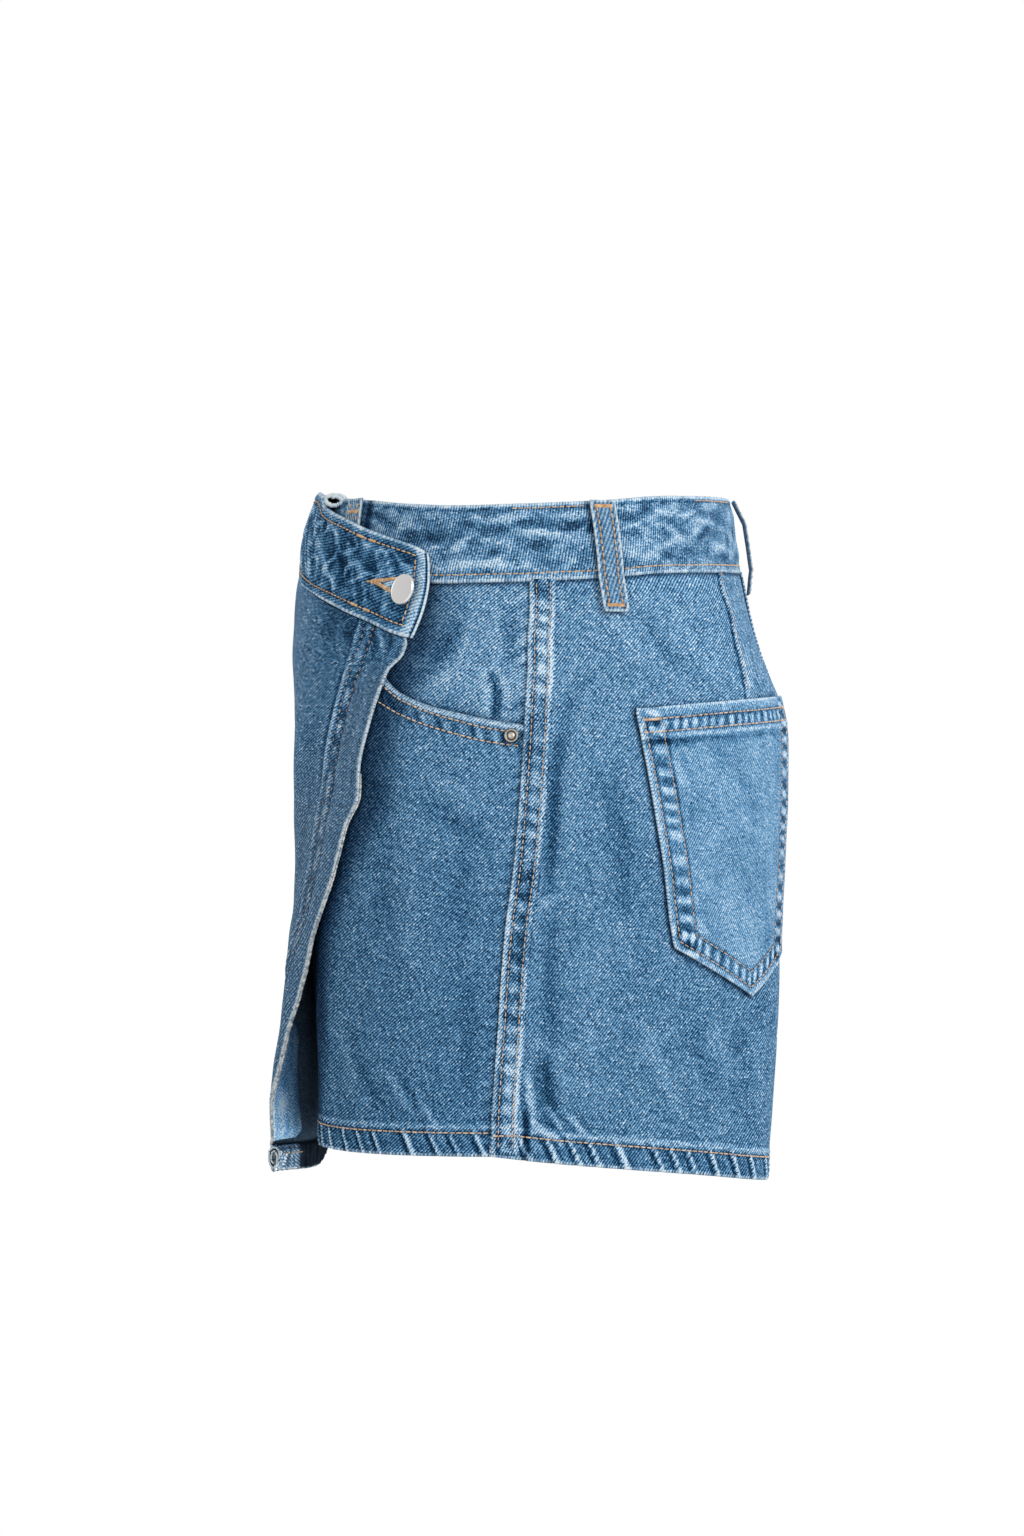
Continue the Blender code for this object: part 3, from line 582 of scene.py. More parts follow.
# %% Grids and places
def spread(*parts):
    """Joins evenly spaced stretches, each as (start, end, steps), into one run of values."""
    stretches = [np.linspace(start, end, steps, endpoint=False) for start, end, steps in parts]
    return np.concatenate(stretches + [[parts[-1][1]]])


def grid(across, down):
    """A row of values across and a column of values down, that make a grid together."""
    return across[None, :], down[:, None]


def pair(u, v):
    """Two fields as one field of places (u, v)."""
    return np.stack(np.broadcast_arrays(u, v), -1)


def least(*ways):
    return np.minimum.reduce(np.broadcast_arrays(*ways))


def raised(place, lift):
    """A place on a form, lifted off it along its outward direction."""
    points, normals = place
    return points + normals * np.broadcast_to(lift, points.shape[:-1])[..., None], normals


# %% Edges and raised places
CLOTH = 0.0012
HEM_CLOTH = 0.0026
HEM_DEPTH = 0.012
SEAM_GAP = 0.0003
EDGE_ARCS = 3
FAR_AWAY = 50.0
BULGE_REACH = 2
BULGE_FULL = 0.0003
# Painted shade on the rounded edges: a laid edge darkens towards the cloth below it, and a doubled edge is
# dark between its plies. The inside's painted shade also greys it, and the inside carries less of the wear
# and painted shade in the fade and crease numbers.
LAID_RIM_SHADE = (0.95, 0.5, 0.18)
DOUBLED_RIM_SHADE = (1.0, 0.22, 1.0)
INSIDE_WEAR_AND_SHADE = 0.4
INSIDE_SHADE_GREY = 0.8
PLAIN_MARKS = dict(edge=FAR_AWAY, row_a=FAR_AWAY, row_b=FAR_AWAY, fade=0.0, grey=0.0, shade=1.0)


def rounded_border(front, back):
    """Rows of points that carry the border from the front sheet round to the back."""
    rows, columns = front.shape[:2]
    ring = [(0, j, 1, j) for j in range(columns)]
    ring += [(i, columns - 1, i, columns - 2) for i in range(1, rows)]
    ring += [(rows - 1, j, rows - 2, j) for j in range(columns - 2, -1, -1)]
    ring += [(i, 0, i, 1) for i in range(rows - 2, 0, -1)]
    i, j, next_i, next_j = np.array(ring).T
    outer, inner = front[i, j], back[i, j]
    away = outer - front[next_i, next_j]
    away /= np.maximum(np.linalg.norm(away, axis=1, keepdims=True), 1e-9)
    middle, half = (outer + inner) / 2, (outer - inner) / 2
    reach = np.linalg.norm(half, axis=1, keepdims=True) * away * 0.9
    angles = [math.pi * step / (EDGE_ARCS + 1) for step in range(1, EDGE_ARCS + 1)]
    return i, j, np.array([middle + math.cos(a) * half + math.sin(a) * reach for a in angles])


def bulge(lift):
    """How far each point stands above its neighbours, from -1 in a groove to 1 on a ridge."""
    reach = BULGE_REACH
    padded = np.pad(lift, reach, mode="edge")
    rows, columns = lift.shape
    around = sum(
        padded[reach + i:reach + i + rows, reach + j:reach + j + columns]
        for i, j in ((-reach, 0), (reach, 0), (0, -reach), (0, reach))
    )
    return np.clip((lift - around / 4) / BULGE_FULL, -1, 1)


# %% Attaching each piece and hiding the part it stands for
SHEET_SHARE = 0.999


def flat_area(points):
    """Area of the grid as it lies on the garment, before any fold lifts it."""
    across, down = points[:-1, 1:] - points[:-1, :-1], points[1:, :-1] - points[:-1, :-1]
    return float(np.linalg.norm(np.cross(across, down), axis=2).sum())


def declare(piece, node, points):
    """Attaches the cloth piece to the root, hides the part it stands for, and prints the size it was cut
    to.
    """
    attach(piece, "root")
    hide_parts(node)
    wide = round(np.linalg.norm(np.diff(points, axis=1), axis=2).sum(1).max(), 4)
    tall = round(np.linalg.norm(np.diff(points, axis=0), axis=2).sum(0).max(), 4)
    area = round(min(flat_area(points), SHEET_SHARE * wide * tall), 6)
    print("%-22s %4.0f x %4.0f mm, %5.0f cm2" % (piece.name, 1000 * wide, 1000 * tall, 1e4 * area))


# %% The cloth builder
def cloth(name, finish, slot, place, cut, lift=0.0, thick=CLOTH, node=None, held="hung", on=(),
          turned_up=None, inside_shade=1.0, laid=False, **marks):
    """Place is the grid's points and normals on the form, and cut its places in the cut
    cloth. Turned_up marks a hem, whose inside shows the cloth's outer face. The inside is
    darkened by the given factor as painted shade, and laid paints shade on edges that lie
    on other cloth. The marks are the numbers that the denim reads, each in the place of a
    plain one."""
    points, normals = place
    rows, columns = points.shape[:2]
    lift = np.broadcast_to(lift, (rows, columns))
    thick = np.broadcast_to(thick, (rows, columns))
    front = points + normals * lift[..., None]
    back = front - normals * thick[..., None]
    i, j, arcs = rounded_border(front, back)
    count, around = rows * columns, len(i)
    vertices = np.concatenate([front.reshape(-1, 3), back.reshape(-1, 3), arcs.reshape(-1, 3)])

    index = np.arange(count).reshape(rows, columns)
    quads = np.stack([index[:-1, :-1], index[:-1, 1:], index[1:, 1:], index[1:, :-1]], -1).reshape(-1, 4)
    bands = [index[i, j]] + [2 * count + k * around + np.arange(around) for k in range(EDGE_ARCS)]
    bands.append(index[i, j] + count)
    sheets = [quads, quads[:, ::-1] + count]
    for near, far in zip(bands, bands[1:]):
        sheets.append(np.stack([near, far, np.roll(far, -1), np.roll(near, -1)], 1))
    facing = np.cross(np.gradient(front, axis=1), np.gradient(front, axis=0))
    if (normals * facing).sum() < 0:
        sheets = [face[:, ::-1] for face in sheets]
    faces = np.concatenate(sheets)

    mesh = build(name, vertices.tolist(), faces.tolist(), finish, DENIM_INSIDE)
    weave = np.concatenate([cut.reshape(-1, 2)] * 2 + [cut[i, j]] * EDGE_ARCS)
    mesh.uv_layers.new(name="cloth").data.foreach_set("uv", weave[faces.reshape(-1)].reshape(-1))
    outside = np.zeros((rows, columns), bool) if turned_up is None else turned_up
    rim_shades = LAID_RIM_SHADE if laid else DOUBLED_RIM_SHADE
    for key, value in {**PLAIN_MARKS, "crease": bulge(lift), **marks}.items():
        value = np.broadcast_to(value, (rows, columns))
        within, rims = value, [value[i, j]] * EDGE_ARCS
        if key == "shade":
            within = value * inside_shade
            rims = [value[i, j] * np.where(laid | outside[i, j], dark, 1.0) for dark in rim_shades]
        elif key == "grey":
            within = value + INSIDE_SHADE_GREY * np.clip(1 - inside_shade, 0, 1)
        elif key in ("fade", "crease"):
            within = value * np.where(outside, 1.0, INSIDE_WEAR_AND_SHADE)
        numbers = np.concatenate([value.reshape(-1), within.reshape(-1)] + rims)
        mesh.attributes.new(key, "FLOAT", "POINT").data.foreach_set("value", numbers.astype(np.float32))
    slots = np.zeros(len(faces), np.int32)
    slots[len(quads):2 * len(quads)] = ~outside[:-1, :-1].reshape(-1)
    mesh.polygons.foreach_set("material_index", slots)
    mesh.shade_smooth()
    mesh.update()
    declare(add(name, mesh), node or name, points)


def relaxed(run, normals, least_open, evened=0):
    """Runs for the weave: its ribs open a little where the cloth turns from the side.

    Evened is how many rows above and below are averaged, so that the ribs run smoothly."""
    openness = np.maximum(np.abs(normals[..., 0]), least_open)
    if evened:
        padded = np.pad(openness, ((evened, evened), (0, 0)), mode="edge")
        openness = np.mean([padded[i:i + len(openness)] for i in range(2 * evened + 1)], axis=0)
    steps = (openness[:, 1:] + openness[:, :-1]) / 2 * np.diff(run, axis=1)
    return np.concatenate([run[:, :1], run[:, :1] + np.cumsum(steps, axis=1)], axis=1)


print("cloth builder ready")

# %% Places on the form
BAND_HEIGHT = 0.0385
BAND_PROUD = 0.0009
BAND_TUCK = 0.0004
HEM_STEP_IN, HEM_STEP_OUT = 0.0008, 0.0012


def body_at(z, run, way, side=LEFT):
    """Points and normals; a run before the side seam comes out on the other quarter."""
    z, run = np.broadcast_arrays(np.asarray(z, float), np.asarray(run, float))
    here = QUARTERS[way].read(z, np.maximum(run, 0), side)
    there = QUARTERS[-way].read(z, np.maximum(-run, 0), side)
    before = (run < 0)[..., None]
    return tuple(np.where(before, other, own) for own, other in zip(here, there))


def front_at(z, along):
    """A place on the front, along being the way from the front middle to the left."""
    z, along = np.broadcast_arrays(np.asarray(z, float), np.asarray(along, float))
    run = QUARTERS[FRONT].length(z) - np.abs(along)
    return body_at(z, run, FRONT, np.where(along >= 0, 1.0, -1.0))


def band_top(share, way):
    return BAND_TOP.read(COLUMN[way], share)


def band_foot(share, way):
    return band_top(share, way) - BAND_HEIGHT


def under_band(share, way):
    return band_foot(share, way) - BAND_TUCK


def hem_line(way, share):
    return LEG_HEM.read(COLUMN[way], share)


def hem_thickness(z, hem):
    turned = 1 - ease(HEM_DEPTH - HEM_STEP_IN, HEM_DEPTH + HEM_STEP_OUT, z - hem)
    return CLOTH + (HEM_CLOTH - CLOTH) * turned


print("band stands %.1f mm tall" % (BAND_HEIGHT / MM))

# %% [markdown]
# ## Front and back panels
# The body of the shorts is four panels of one cloth: a front and a back for each leg.
# Each is laid on its quarter of the form, from under the waistband to the turned-up hem.
# Its creases are placed one by one where the cloth hangs in soft folds: long shallow
# troughs down the back panel and short slanting ridges by the front hem. The hem itself
# ropes: it was sewn on the slant, and washing raised slanting ridges along it.

# %% The panels' folds, hem and rows
PANEL_COLUMNS = {LEFT: 230, RIGHT: 150}
PANEL_ROWS = ((0, 0.02, 8), (0.02, 0.92, 90), (0.92, 1, 18))
PANEL_START, PANEL_CLEAR = 0.0002, 0.00035
LEAST_OPEN = {FRONT: 0.36, BACK: 0.6}
HEM_ROW = 0.0108
HEM_RIDGE_STEP = 0.014
HEM_SLANT = 0.46
# The fold tone is partly wash wear and partly painted light and shade: folds paler on their ridges and
# darker in their troughs.
FOLD_WEAR_AND_SHADE = 46.0
FOOT_TONE = {FRONT: (-0.075, -0.12, -0.3), BACK: (-0.06, -0.09, -0.23)}
UNDER_BAND_EDGE = 0.0011
FOLDS = {
    BACK: [
        (26, -96, 18.5, -150, 5, -1.4, 1), (18, -128, 20, -214, 4.5, -3.6, 1),
        (42, -140, 61, -226, 8, -2.2, -2), (29, -128, 32, -216, 4.5, 0.4, 1),
        (58, -60, 88, -100, 6, -1.3, 2), (36, -52, 62, -96, 4, 0.7, 2),
        (75, -55, 108, -104, 6, 0.7, 2), (22, -214, 28, -292, 6, -2.0, 0),
        (46, -212, 50, -328, 8, 0.6, 1), (24, -288, 31, -328, 5, -2.6, 0),
        (15.6, -298, 20.0, -328, 2.2, 2.0, -1), (18.5, -323, 40, -337, 2.2, 1.9, 1),
        (27, -316, 36, -329, 1.6, 1.6, 0), (38, -320, 48, -333, 1.8, 1.4, 0),
        (62, -262, 104, -336, 6, 0.6, -3), (80, -255, 122, -325, 7, -0.7, -4),
        (130, -275, 150, -345, 9, -0.9, 2), (190, -140, 186, -250, 9, -1.5, 2),
    ],
    FRONT: [
        (52, -162, 8, -190, 6, -1.1, 1), (58, -148, 16, -164, 6, 0.6, 0),
        (62, -296, 24, -335, 3.5, 0.9, 0), (50, -300, 30, -334, 3, -1.0, 0),
        (40, -308, 22, -338, 3, 0.8, 0), (84, -290, 48, -332, 4.5, -1.1, 1),
        (100, -270, 66, -330, 5, 0.7, 1), (30, -170, 22, -250, 8, -1.2, 1),
        (74, -150, 62, -240, 8, -1.4, -2), (52, -190, 46, -260, 8, 1.0, 0),
        (120, -230, 108, -330, 8, -1.2, 0), (18, -240, 14, -320, 6, -1.2, 1),
    ],
}


# %% Hem ridges, puckers and tones of a panel
def rope_wave(across, above, seed):
    """Thin slanting ridges along a turned hem, each with a dark side."""
    slanted = across + above * HEM_SLANT
    ridges = crests(slanted, HEM_RIDGE_STEP, seed, 9.0)
    hollows = crests(slanted + 0.002, HEM_RIDGE_STEP, seed, 6.0)
    return (1.5 * ridges - 0.72 * hollows) * flat_bell(above - 0.0048, 0.0068)


def roping(across, above, seed, lift=0.001):
    return lift * rope_wave(across, above, seed) + 0.0005 * bell(above - HEM_ROW - 0.003, 0.0016)


def puckers(along, off, seed, spacing=0.0075, reach=0.0045, lift=0.00032, slant=0.4):
    """The small waves that thread tension draws across a row of stitches."""
    return lift * uneven_wave(along + off * slant, spacing, seed) * bell(off, reach)


def laid_shadow(depth, gap):
    """A painted shadow: the thin dark line where one piece lies over another, gap metres away from it."""
    return 1 - depth * bell(np.maximum(gap, 0), 0.0013)


def panel_lift(way, z, run, hem):
    lift = 0.5 * folds(FOLDS[way], run, z) + roping(way * run, z - hem, 5 + way)
    lift = lift + puckers(z, run, 11, lift=0.0003, reach=0.005)
    lift = lift + 0.00012 * lumps(run, z, 0.011, 0.017, 3 + way, 35 * way)
    return lift + 0.0003 * lumps(run, z, 0.026, 0.044, 7 + way, 20 * way)


def panel_tone(way, z, run, above):
    """Washing leaves the hem's ridges pale and hollows dark. The folds are paler on their ridges and darker
    in their troughs, partly wear and partly painted light and shade, and the foot is deeper in tone.
    """
    ridges = 0.5 * rope_wave(way * run, above, 5 + way)
    tufts = crests(way * run + above * 0.8, 0.0085, 9 + way, 3.5)
    ridges = ridges + 0.19 * tufts * bell(above - HEM_ROW - 0.0045, 0.0045)
    below_row = -0.07 * bell(above - 0.005, 0.006)
    ridge_line = 0.05 * bell(above - HEM_ROW - 0.0028, 0.0014)
    depth, start, end = FOOT_TONE[way]
    folds_worn_and_shaded = FOLD_WEAR_AND_SHADE * folds(FOLDS[way], run, z)
    return ridges + below_row + ridge_line + depth * ease(start, end, z) + folds_worn_and_shaded


def make_panel(name, way, side, finish, top_of=under_band, extra=None):
    share, level = grid(spread((0, 1, PANEL_COLUMNS[side])), spread(*PANEL_ROWS))
    top, hem = top_of(share, way), hem_line(way, share)
    z = top + level * (hem - top)
    run = PANEL_START + share * (QUARTERS[way].length(z) - PANEL_CLEAR)
    points, normals = body_at(z, run, way, side)
    above = z - hem
    lift = panel_lift(way, z, run, hem)
    # Painted shadow under the waistband, and on the front beside the side seam's welt.
    shade = laid_shadow(0.72, top - z - UNDER_BAND_EDGE) * laid_shadow(0.4, run if way == FRONT else 1.0)
    marks = {"edge": (above + 0.0004) / MM, "row_a": (above - HEM_ROW) / MM, "shade": shade}
    marks["fade"] = panel_tone(way, z, run, above)
    if extra:
        lift, marks = extra(z, run, lift, marks)
    cut = pair(way * side * relaxed(run, normals, LEAST_OPEN[way]), z)
    cloth(name, finish, "denim", (points, normals), cut, lift, hem_thickness(z, hem),
          on=["waistband"], turned_up=above < HEM_DEPTH, **marks)


# %% The pocket mouth and the dart
MOUTH_ROWS = (0.0041, 0.0107)
POCKET_MOUTH = Table("from_seam z", [
    (0, -125.4), (18, -122.8), (32, -119.7), (48, -116.0), (64, -110.0),
    (72, -105.3), (80, -97.7), (88, -82.8), (94, -65.0), (97, -49.0),
])
MOUTH_END = 0.096
PATCH_CORNERS = [(57.0, -118.0), (174.0, -110.0), (173.0, -243.0), (137.4, -263.5), (88.2, -237.6)]
PATCH_CORNERS = np.array(PATCH_CORNERS) * MM
PATCH_OUTER, PATCH_INNER, PATCH_FOOT_INNER = 0.0034, 0.0128, 0.0104
PATCH_MOUTH_ROWS = (0.0054, 0.012)
PATCH_WALL = 0.0019
DART_HEIGHTS = (-0.129, -0.111, -0.086, -0.066, -0.05, -0.042)
DART_LINE = np.array((129, 129, 131, 131, 123, 122)) * MM
SEAM_TUCK = 0.0176
WRAP_EDGE_ON_FRONT = Table("z from_seam", [
    (-81, 64), (-96, 75), (-112, 82), (-143, 89), (-162, 90),
    (-185, 101), (-217, 116), (-236, 124), (-321, 137), (-345, 139),
])


def mouth_top(share, way):
    mouth = POCKET_MOUTH.read("z", share * QUARTERS[way].length(-0.105))
    return np.minimum(mouth, under_band(share, way))


def mouth_row(row, run):
    """The mouth's rows draw closer to it towards the front."""
    return row - 0.0012 * ease(0.02, 0.06, run)


def mouth_slant(run):
    """How much longer a way straight down is than one square to the pocket mouth."""
    slope = (POCKET_MOUTH.read("z", run + 0.002) - POCKET_MOUTH.read("z", run - 0.002)) / 0.004
    return np.sqrt(1 + slope * slope)


def patch_insets(run, z):
    """How far inside the mouth edge a place is, and inside the sides and the foot."""
    insets = []
    for (u0, z0), (u1, z1) in zip(PATCH_CORNERS, np.roll(PATCH_CORNERS, -1, axis=0)):
        side = math.hypot(u1 - u0, z1 - z0)
        insets.append(((z1 - z0) * (run - u0) - (u1 - u0) * (z - z0)) / side)
    return insets[0], np.minimum(insets[1], insets[4]), np.minimum(insets[2], insets[3])


def dart(z, run, lift, marks):
    """The back dart: a fold sewn down from the band, its edge a dark line."""
    off = run - np.interp(z, DART_HEIGHTS, DART_LINE)
    raised_side = 0.0011 * ease(-0.128, -0.1, z) * ease(-0.0004, 0.0022, off)
    lift = lift + raised_side * (1 - ease(0.004, 0.022, off))
    marks["row_b"] = off / MM + 400 * (1 - ease(-0.128, -0.116, z))
    # Painted shadow round the back pocket's edges.
    outside = -least(*patch_insets(run, z))
    patch_shadow = np.where(outside > -0.001, laid_shadow(0.8, outside - 0.0004), 1.0)
    # Painted shade in the crease of a small tuck at the seam's foot, through both shade and fade; the tuck
    # also sinks the cloth.
    tuck = bell(run - SEAM_TUCK, 0.0011) * ease(-0.314, -0.324, z)
    marks["shade"] = marks["shade"] * patch_shadow * (1 - 0.85 * tuck)
    marks["fade"] = marks["fade"] - 0.4 * tuck
    return lift - 0.0008 * tuck, marks


def beside_wrap(z, run):
    """The wrap keeps the light off the cloth beside its free edge."""
    clear = WRAP_EDGE_ON_FRONT.read("from_seam", z) - run
    return 0.25 + 0.75 * ease(0.0085, 0.033, clear)


def pocket_mouth(z, run, lift, marks):
    """The scooped mouth: a rolled pale edge over two rows with puckers between them."""
    below = (POCKET_MOUTH.read("z", run) - z) / mouth_slant(run)
    near = run < MOUTH_END
    rim = np.where(near, below, 1.0)
    lift = lift + 0.0008 * bell(rim - 0.0018, 0.0022)
    lift = lift + np.where(near, puckers(run, below - 0.008, 23, 0.0065, 0.005, 0.0003), 0)
    row_a, row_b = [(rim - mouth_row(row, run)) / MM for row in MOUTH_ROWS]
    marks["edge"] = np.minimum(marks["edge"], (rim + 0.0004) / MM)
    marks["row_a"], marks["row_b"] = np.minimum(marks["row_a"], row_a), row_b
    rolled = bell(rim - 0.0013, 0.0016)
    # Painted shadow beside the wrap, lifted off the rolled rim, which stands out into the light.
    shade = marks["shade"] * beside_wrap(z, run)
    marks["shade"] = shade + (1 - shade) * 0.85 * rolled
    below_rows = bell(rim - 0.016, 0.004) * ease(0.04, 0.065, run)
    between = flat_bell(rim - 0.0072, 0.0026)
    fade = marks["fade"] + 0.34 * rolled + 0.1 * below_rows * uneven_wave(run + z * 0.3, 0.0052, 24)
    marks["fade"] = fade + 0.21 * between * np.tanh(1.8 * uneven_wave(run - z * 0.2, 0.0092, 26))
    return lift, marks


# %% The four panels
make_panel("back_left", BACK, LEFT, DENIM_BACK, extra=dart)
make_panel("back_right", BACK, RIGHT, DENIM_BACK, extra=dart)
make_panel("front_left", FRONT, LEFT, DENIM_FRONT, mouth_top, pocket_mouth)
make_panel("front_right", FRONT, RIGHT, DENIM_FRONT)

# %% [markdown]
# ## Hip piece, side seams and seat seam
# The scooped front pocket opens over a hip piece of the same cloth, sewn in at the waist
# and the side. The seams are felled: one edge is folded over the other and stitched down
# twice, so a raised welt with two pale rims runs down the back side of the seam line.

# %% Hip piece
HIP_START, HIP_END = 0.0008, 0.106
HIP_TUCK = 0.01
HIP_FOLDS = [
    (18.5, -97, 13.6, -113, 1.6, -1.0, 0), (14.4, -105, 14.8, -124, 1.5, -1.3, 0),
    (34, -70, 60, -105, 7, -0.9, 2), (12, -62, 8, -100, 5, -0.7, 1), (62, -62, 70, -96, 7, 0.6, 1),
]
# Painted light and shade on the hip: a crease's dark trough and pale side, and a broad dark zone.
HIP_LIGHT_AND_SHADE = [
    (18.5, -98, 13.6, -112, 1.4, -190, 0), (14.4, -105, 14.8, -124, 1.4, -300, 0),
    (11.8, -104, 12.2, -122, 1.3, 110, 0), (30, -66, 70, -100, 9, -80, 2),
]

share, level = grid(spread((0, 1, 42)), spread((0, 0.08, 9), (0.08, 1, 33)))
run = HIP_START + share * (HIP_END - HIP_START)
top = under_band(run / QUARTERS[FRONT].length(-0.05), FRONT)
foot = np.minimum(POCKET_MOUTH.read("z", run), top - 0.004) - HIP_TUCK
z, run = top + level * (foot - top), run + 0 * level
points, normals = body_at(z, run, FRONT)
below = POCKET_MOUTH.read("z", run) - z
sunk = -0.0004 - 0.0013 * ease(-0.02, -0.002, below)
lift = sunk + folds(HIP_FOLDS, run, z) + puckers(z, run, 12, reach=0.006)
lift = lift + 0.00035 * lumps(run, z, 0.013, 0.018, 15, -30)
# Painted shadow under the pocket mouth's edge, beside the wrap and under the waistband.
shade = (1 - 0.74 * bell(below, 0.0022)) * beside_wrap(z, run)
shade = shade * laid_shadow(0.72, z[:1] - z - UNDER_BAND_EDGE)
cut = pair(-relaxed(run, normals, LEAST_OPEN[FRONT]), z)
cloth("hip_piece", DENIM_HIP, "denim", (points, normals), cut, lift, node="pocket_bearer_left",
      on=["waistband"], shade=shade, fade=folds(HIP_LIGHT_AND_SHADE, run, z))

# %% Side seam welts
STRIP_WALL = 0.0011
STRIP_START = 0.0006
WELT_WIDTH = 0.0135
WELT_FOOT = float(hem_line(BACK, 0.0)) + 0.0006
SEAM_ROWS = (0.0036, 0.0106)
SIDES = {"left": LEFT, "right": RIGHT}


def welt_lift(z, across):
    """A pale rim at the seam, puckers between the rows, and a far side that dies away."""
    lift = panel_lift(BACK, z, STRIP_START + across, WELT_FOOT) * 0.8
    rim = 0.0006 * bell(across - 0.0009, 0.0012)
    ridge = 0.0005 * bell(across - 0.0112, 0.0012)
    grooves = sum(bell(across - row + STRIP_START, 0.0009) for row in SEAM_ROWS)
    waves = 0.00055 * uneven_wave(z + across * 0.25, 0.0102, 31) * arch(across / 0.0125)
    waves = waves + 0.00035 * lumps(across, z, 0.006, 0.007, 33)
    step = (SEAM_GAP + STRIP_WALL) * (1 - ease(0.0108, WELT_WIDTH, across))
    return lift + (step + rim + ridge + waves - 0.0003 * grooves)


def welt_tone(z):
    """Paler near the height of the back pocket's mouth, and darker below it."""
    dark = bell(z + 0.139, 0.013) + 0.5 * bell(z + 0.064, 0.012)
    return 0.21 * bell(z + 0.104, 0.018) - 0.21 * dark


for word, side in SIDES.items():
    across, z = grid(spread((0, WELT_WIDTH, 12)), spread((float(under_band(0.0, BACK)), WELT_FOOT, 200)))
    run, z = STRIP_START + across + 0 * z, z + 0 * across
    fade = 0.3 * lumps(across, z, 0.009, 0.017, 35) + 0.15 * ease(0.0095, 0.0122, across) + welt_tone(z)
    row_a, row_b = [(run - row) / MM for row in SEAM_ROWS]
    cloth("side_seam_" + word, DENIM_STRIP, "denim_worn", body_at(z, run, BACK, side), pair(side * run, z),
          welt_lift(z, across), STRIP_WALL, held="laid", on=["back_" + word], laid=True,
          edge=(across + 0.0002) / MM, row_a=row_a, row_b=row_b, fade=fade)

# %% Seat seam
SEAT_FOOT = -0.225
SEAT_FROM, SEAT_TO = -0.002, 0.009
SEAT_ROWS = (0.0005, 0.0065)

seat_top = float(band_foot(0.97, BACK)) - 0.0006
across, z = grid(spread((SEAT_FROM, SEAT_TO, 10)), spread((seat_top, SEAT_FOOT, 120)))
place = body_at(z, QUARTERS[BACK].length(z) - across, BACK)
lift = 3 * SEAM_GAP + STRIP_WALL + 0.0005 * uneven_wave(z, 0.0105, 37) * bell(across - 0.0035, 0.004)
row_a, row_b = [(across - row) / MM for row in SEAT_ROWS]
cloth("seat_seam", DENIM_STRIP, "denim_worn", place, pair(-across, z), lift, STRIP_WALL, held="laid",
      on=["back_left", "back_right"], edge=np.minimum(across - SEAT_FROM, SEAT_TO - across) / MM,
      row_a=row_a, row_b=row_b)

# %% [markdown]
# ## Back pockets
# A pointed patch is sewn on each back panel with two rows round its sides and foot and
# two across its hemmed mouth. It is the palest cloth, because it stands proud and rubs.
# Between the rows the cloth puckers into short light and dark rungs.

# %% Where a patch lies
PATCH_TOP = Table("share z", [(0, -118.0), (0.5, -113.5), (1, -110.0)], plain="share")
PATCH_FOOT = ((0.0, 0.3, 0.6, 0.8, 1.0), (-0.2376, -0.2505, -0.2635, -0.2533, -0.243))
PATCH_STREAKS = [
    (72, -137, 88, -160, 2.2, 150, 0), (68, -139, 80, -158, 2.4, -130, 0),
    (83, -136, 97, -156, 2.0, 110, 0), (98, -222, 108, -233, 3.0, 150, 1),
    (92, -212, 101, -216, 2.5, 160, 1), (104, -236, 122, -246, 2.5, -110, 0),
    (118, -215, 132, -245, 4.0, 50, 2), (150, -150, 156, -215, 5.0, 35, 2),
]


def patch_place(share, down):
    top, foot = PATCH_TOP.read("z", share), np.interp(share, *PATCH_FOOT)
    left, right = (57.0 + down * 31.2) * MM, (174.0 - down * 1.0) * MM
    return top + down * (foot - top), left + share * (right - left)


# %% The patches' relief and tones
def patch_rungs(run, z):
    """Pale and dark rungs between the rows, bold down the sides and finer at mouth and foot."""
    mouth, sides, foot = patch_insets(run, z)
    down_sides = np.tanh(2.4 * uneven_wave(z + run * 0.12, 0.0088, 41) - 0.3)
    along_mouth = np.tanh(2.4 * uneven_wave(run, 0.0058, 43) - 0.2)
    along_foot = np.tanh(2.2 * uneven_wave(run, 0.0056, 44) - 0.2)
    beside = down_sides * flat_bell(sides - 0.0081, 0.004)
    under = along_mouth * flat_bell(mouth - 0.0087, 0.003)
    below = along_foot * flat_bell(foot - 0.0068, 0.0032)
    return (beside + 0.8 * under + 0.8 * below) * (0.85 + 0.3 * lumps(run, z, 0.02, 0.02, 46))


def patch_lift(run, z):
    """Rungs between the rows, rolled edges, and the step of the mouth's hem."""
    mouth, sides, foot = patch_insets(run, z)
    rows = [sides - PATCH_OUTER, foot - PATCH_OUTER, sides - PATCH_INNER, foot - PATCH_FOOT_INNER]
    rows += [mouth - row for row in PATCH_MOUTH_ROWS]
    grooves = sum(bell(row, 0.001) for row in rows)
    rolled = bell(least(sides, foot, mouth) - 0.001, 0.0016)
    lift = PATCH_WALL + 2 * SEAM_GAP + 0.00035 * patch_rungs(run, z) + 0.00025 * rolled
    lift = lift - 0.00022 * grooves + 0.00025 * lumps(run, z, 0.012, 0.016, 45, 20)
    return lift + 0.0006 * (1 - ease(0.0136, 0.016, mouth)) + folds(FOLDS[BACK], run, z) * 0.5


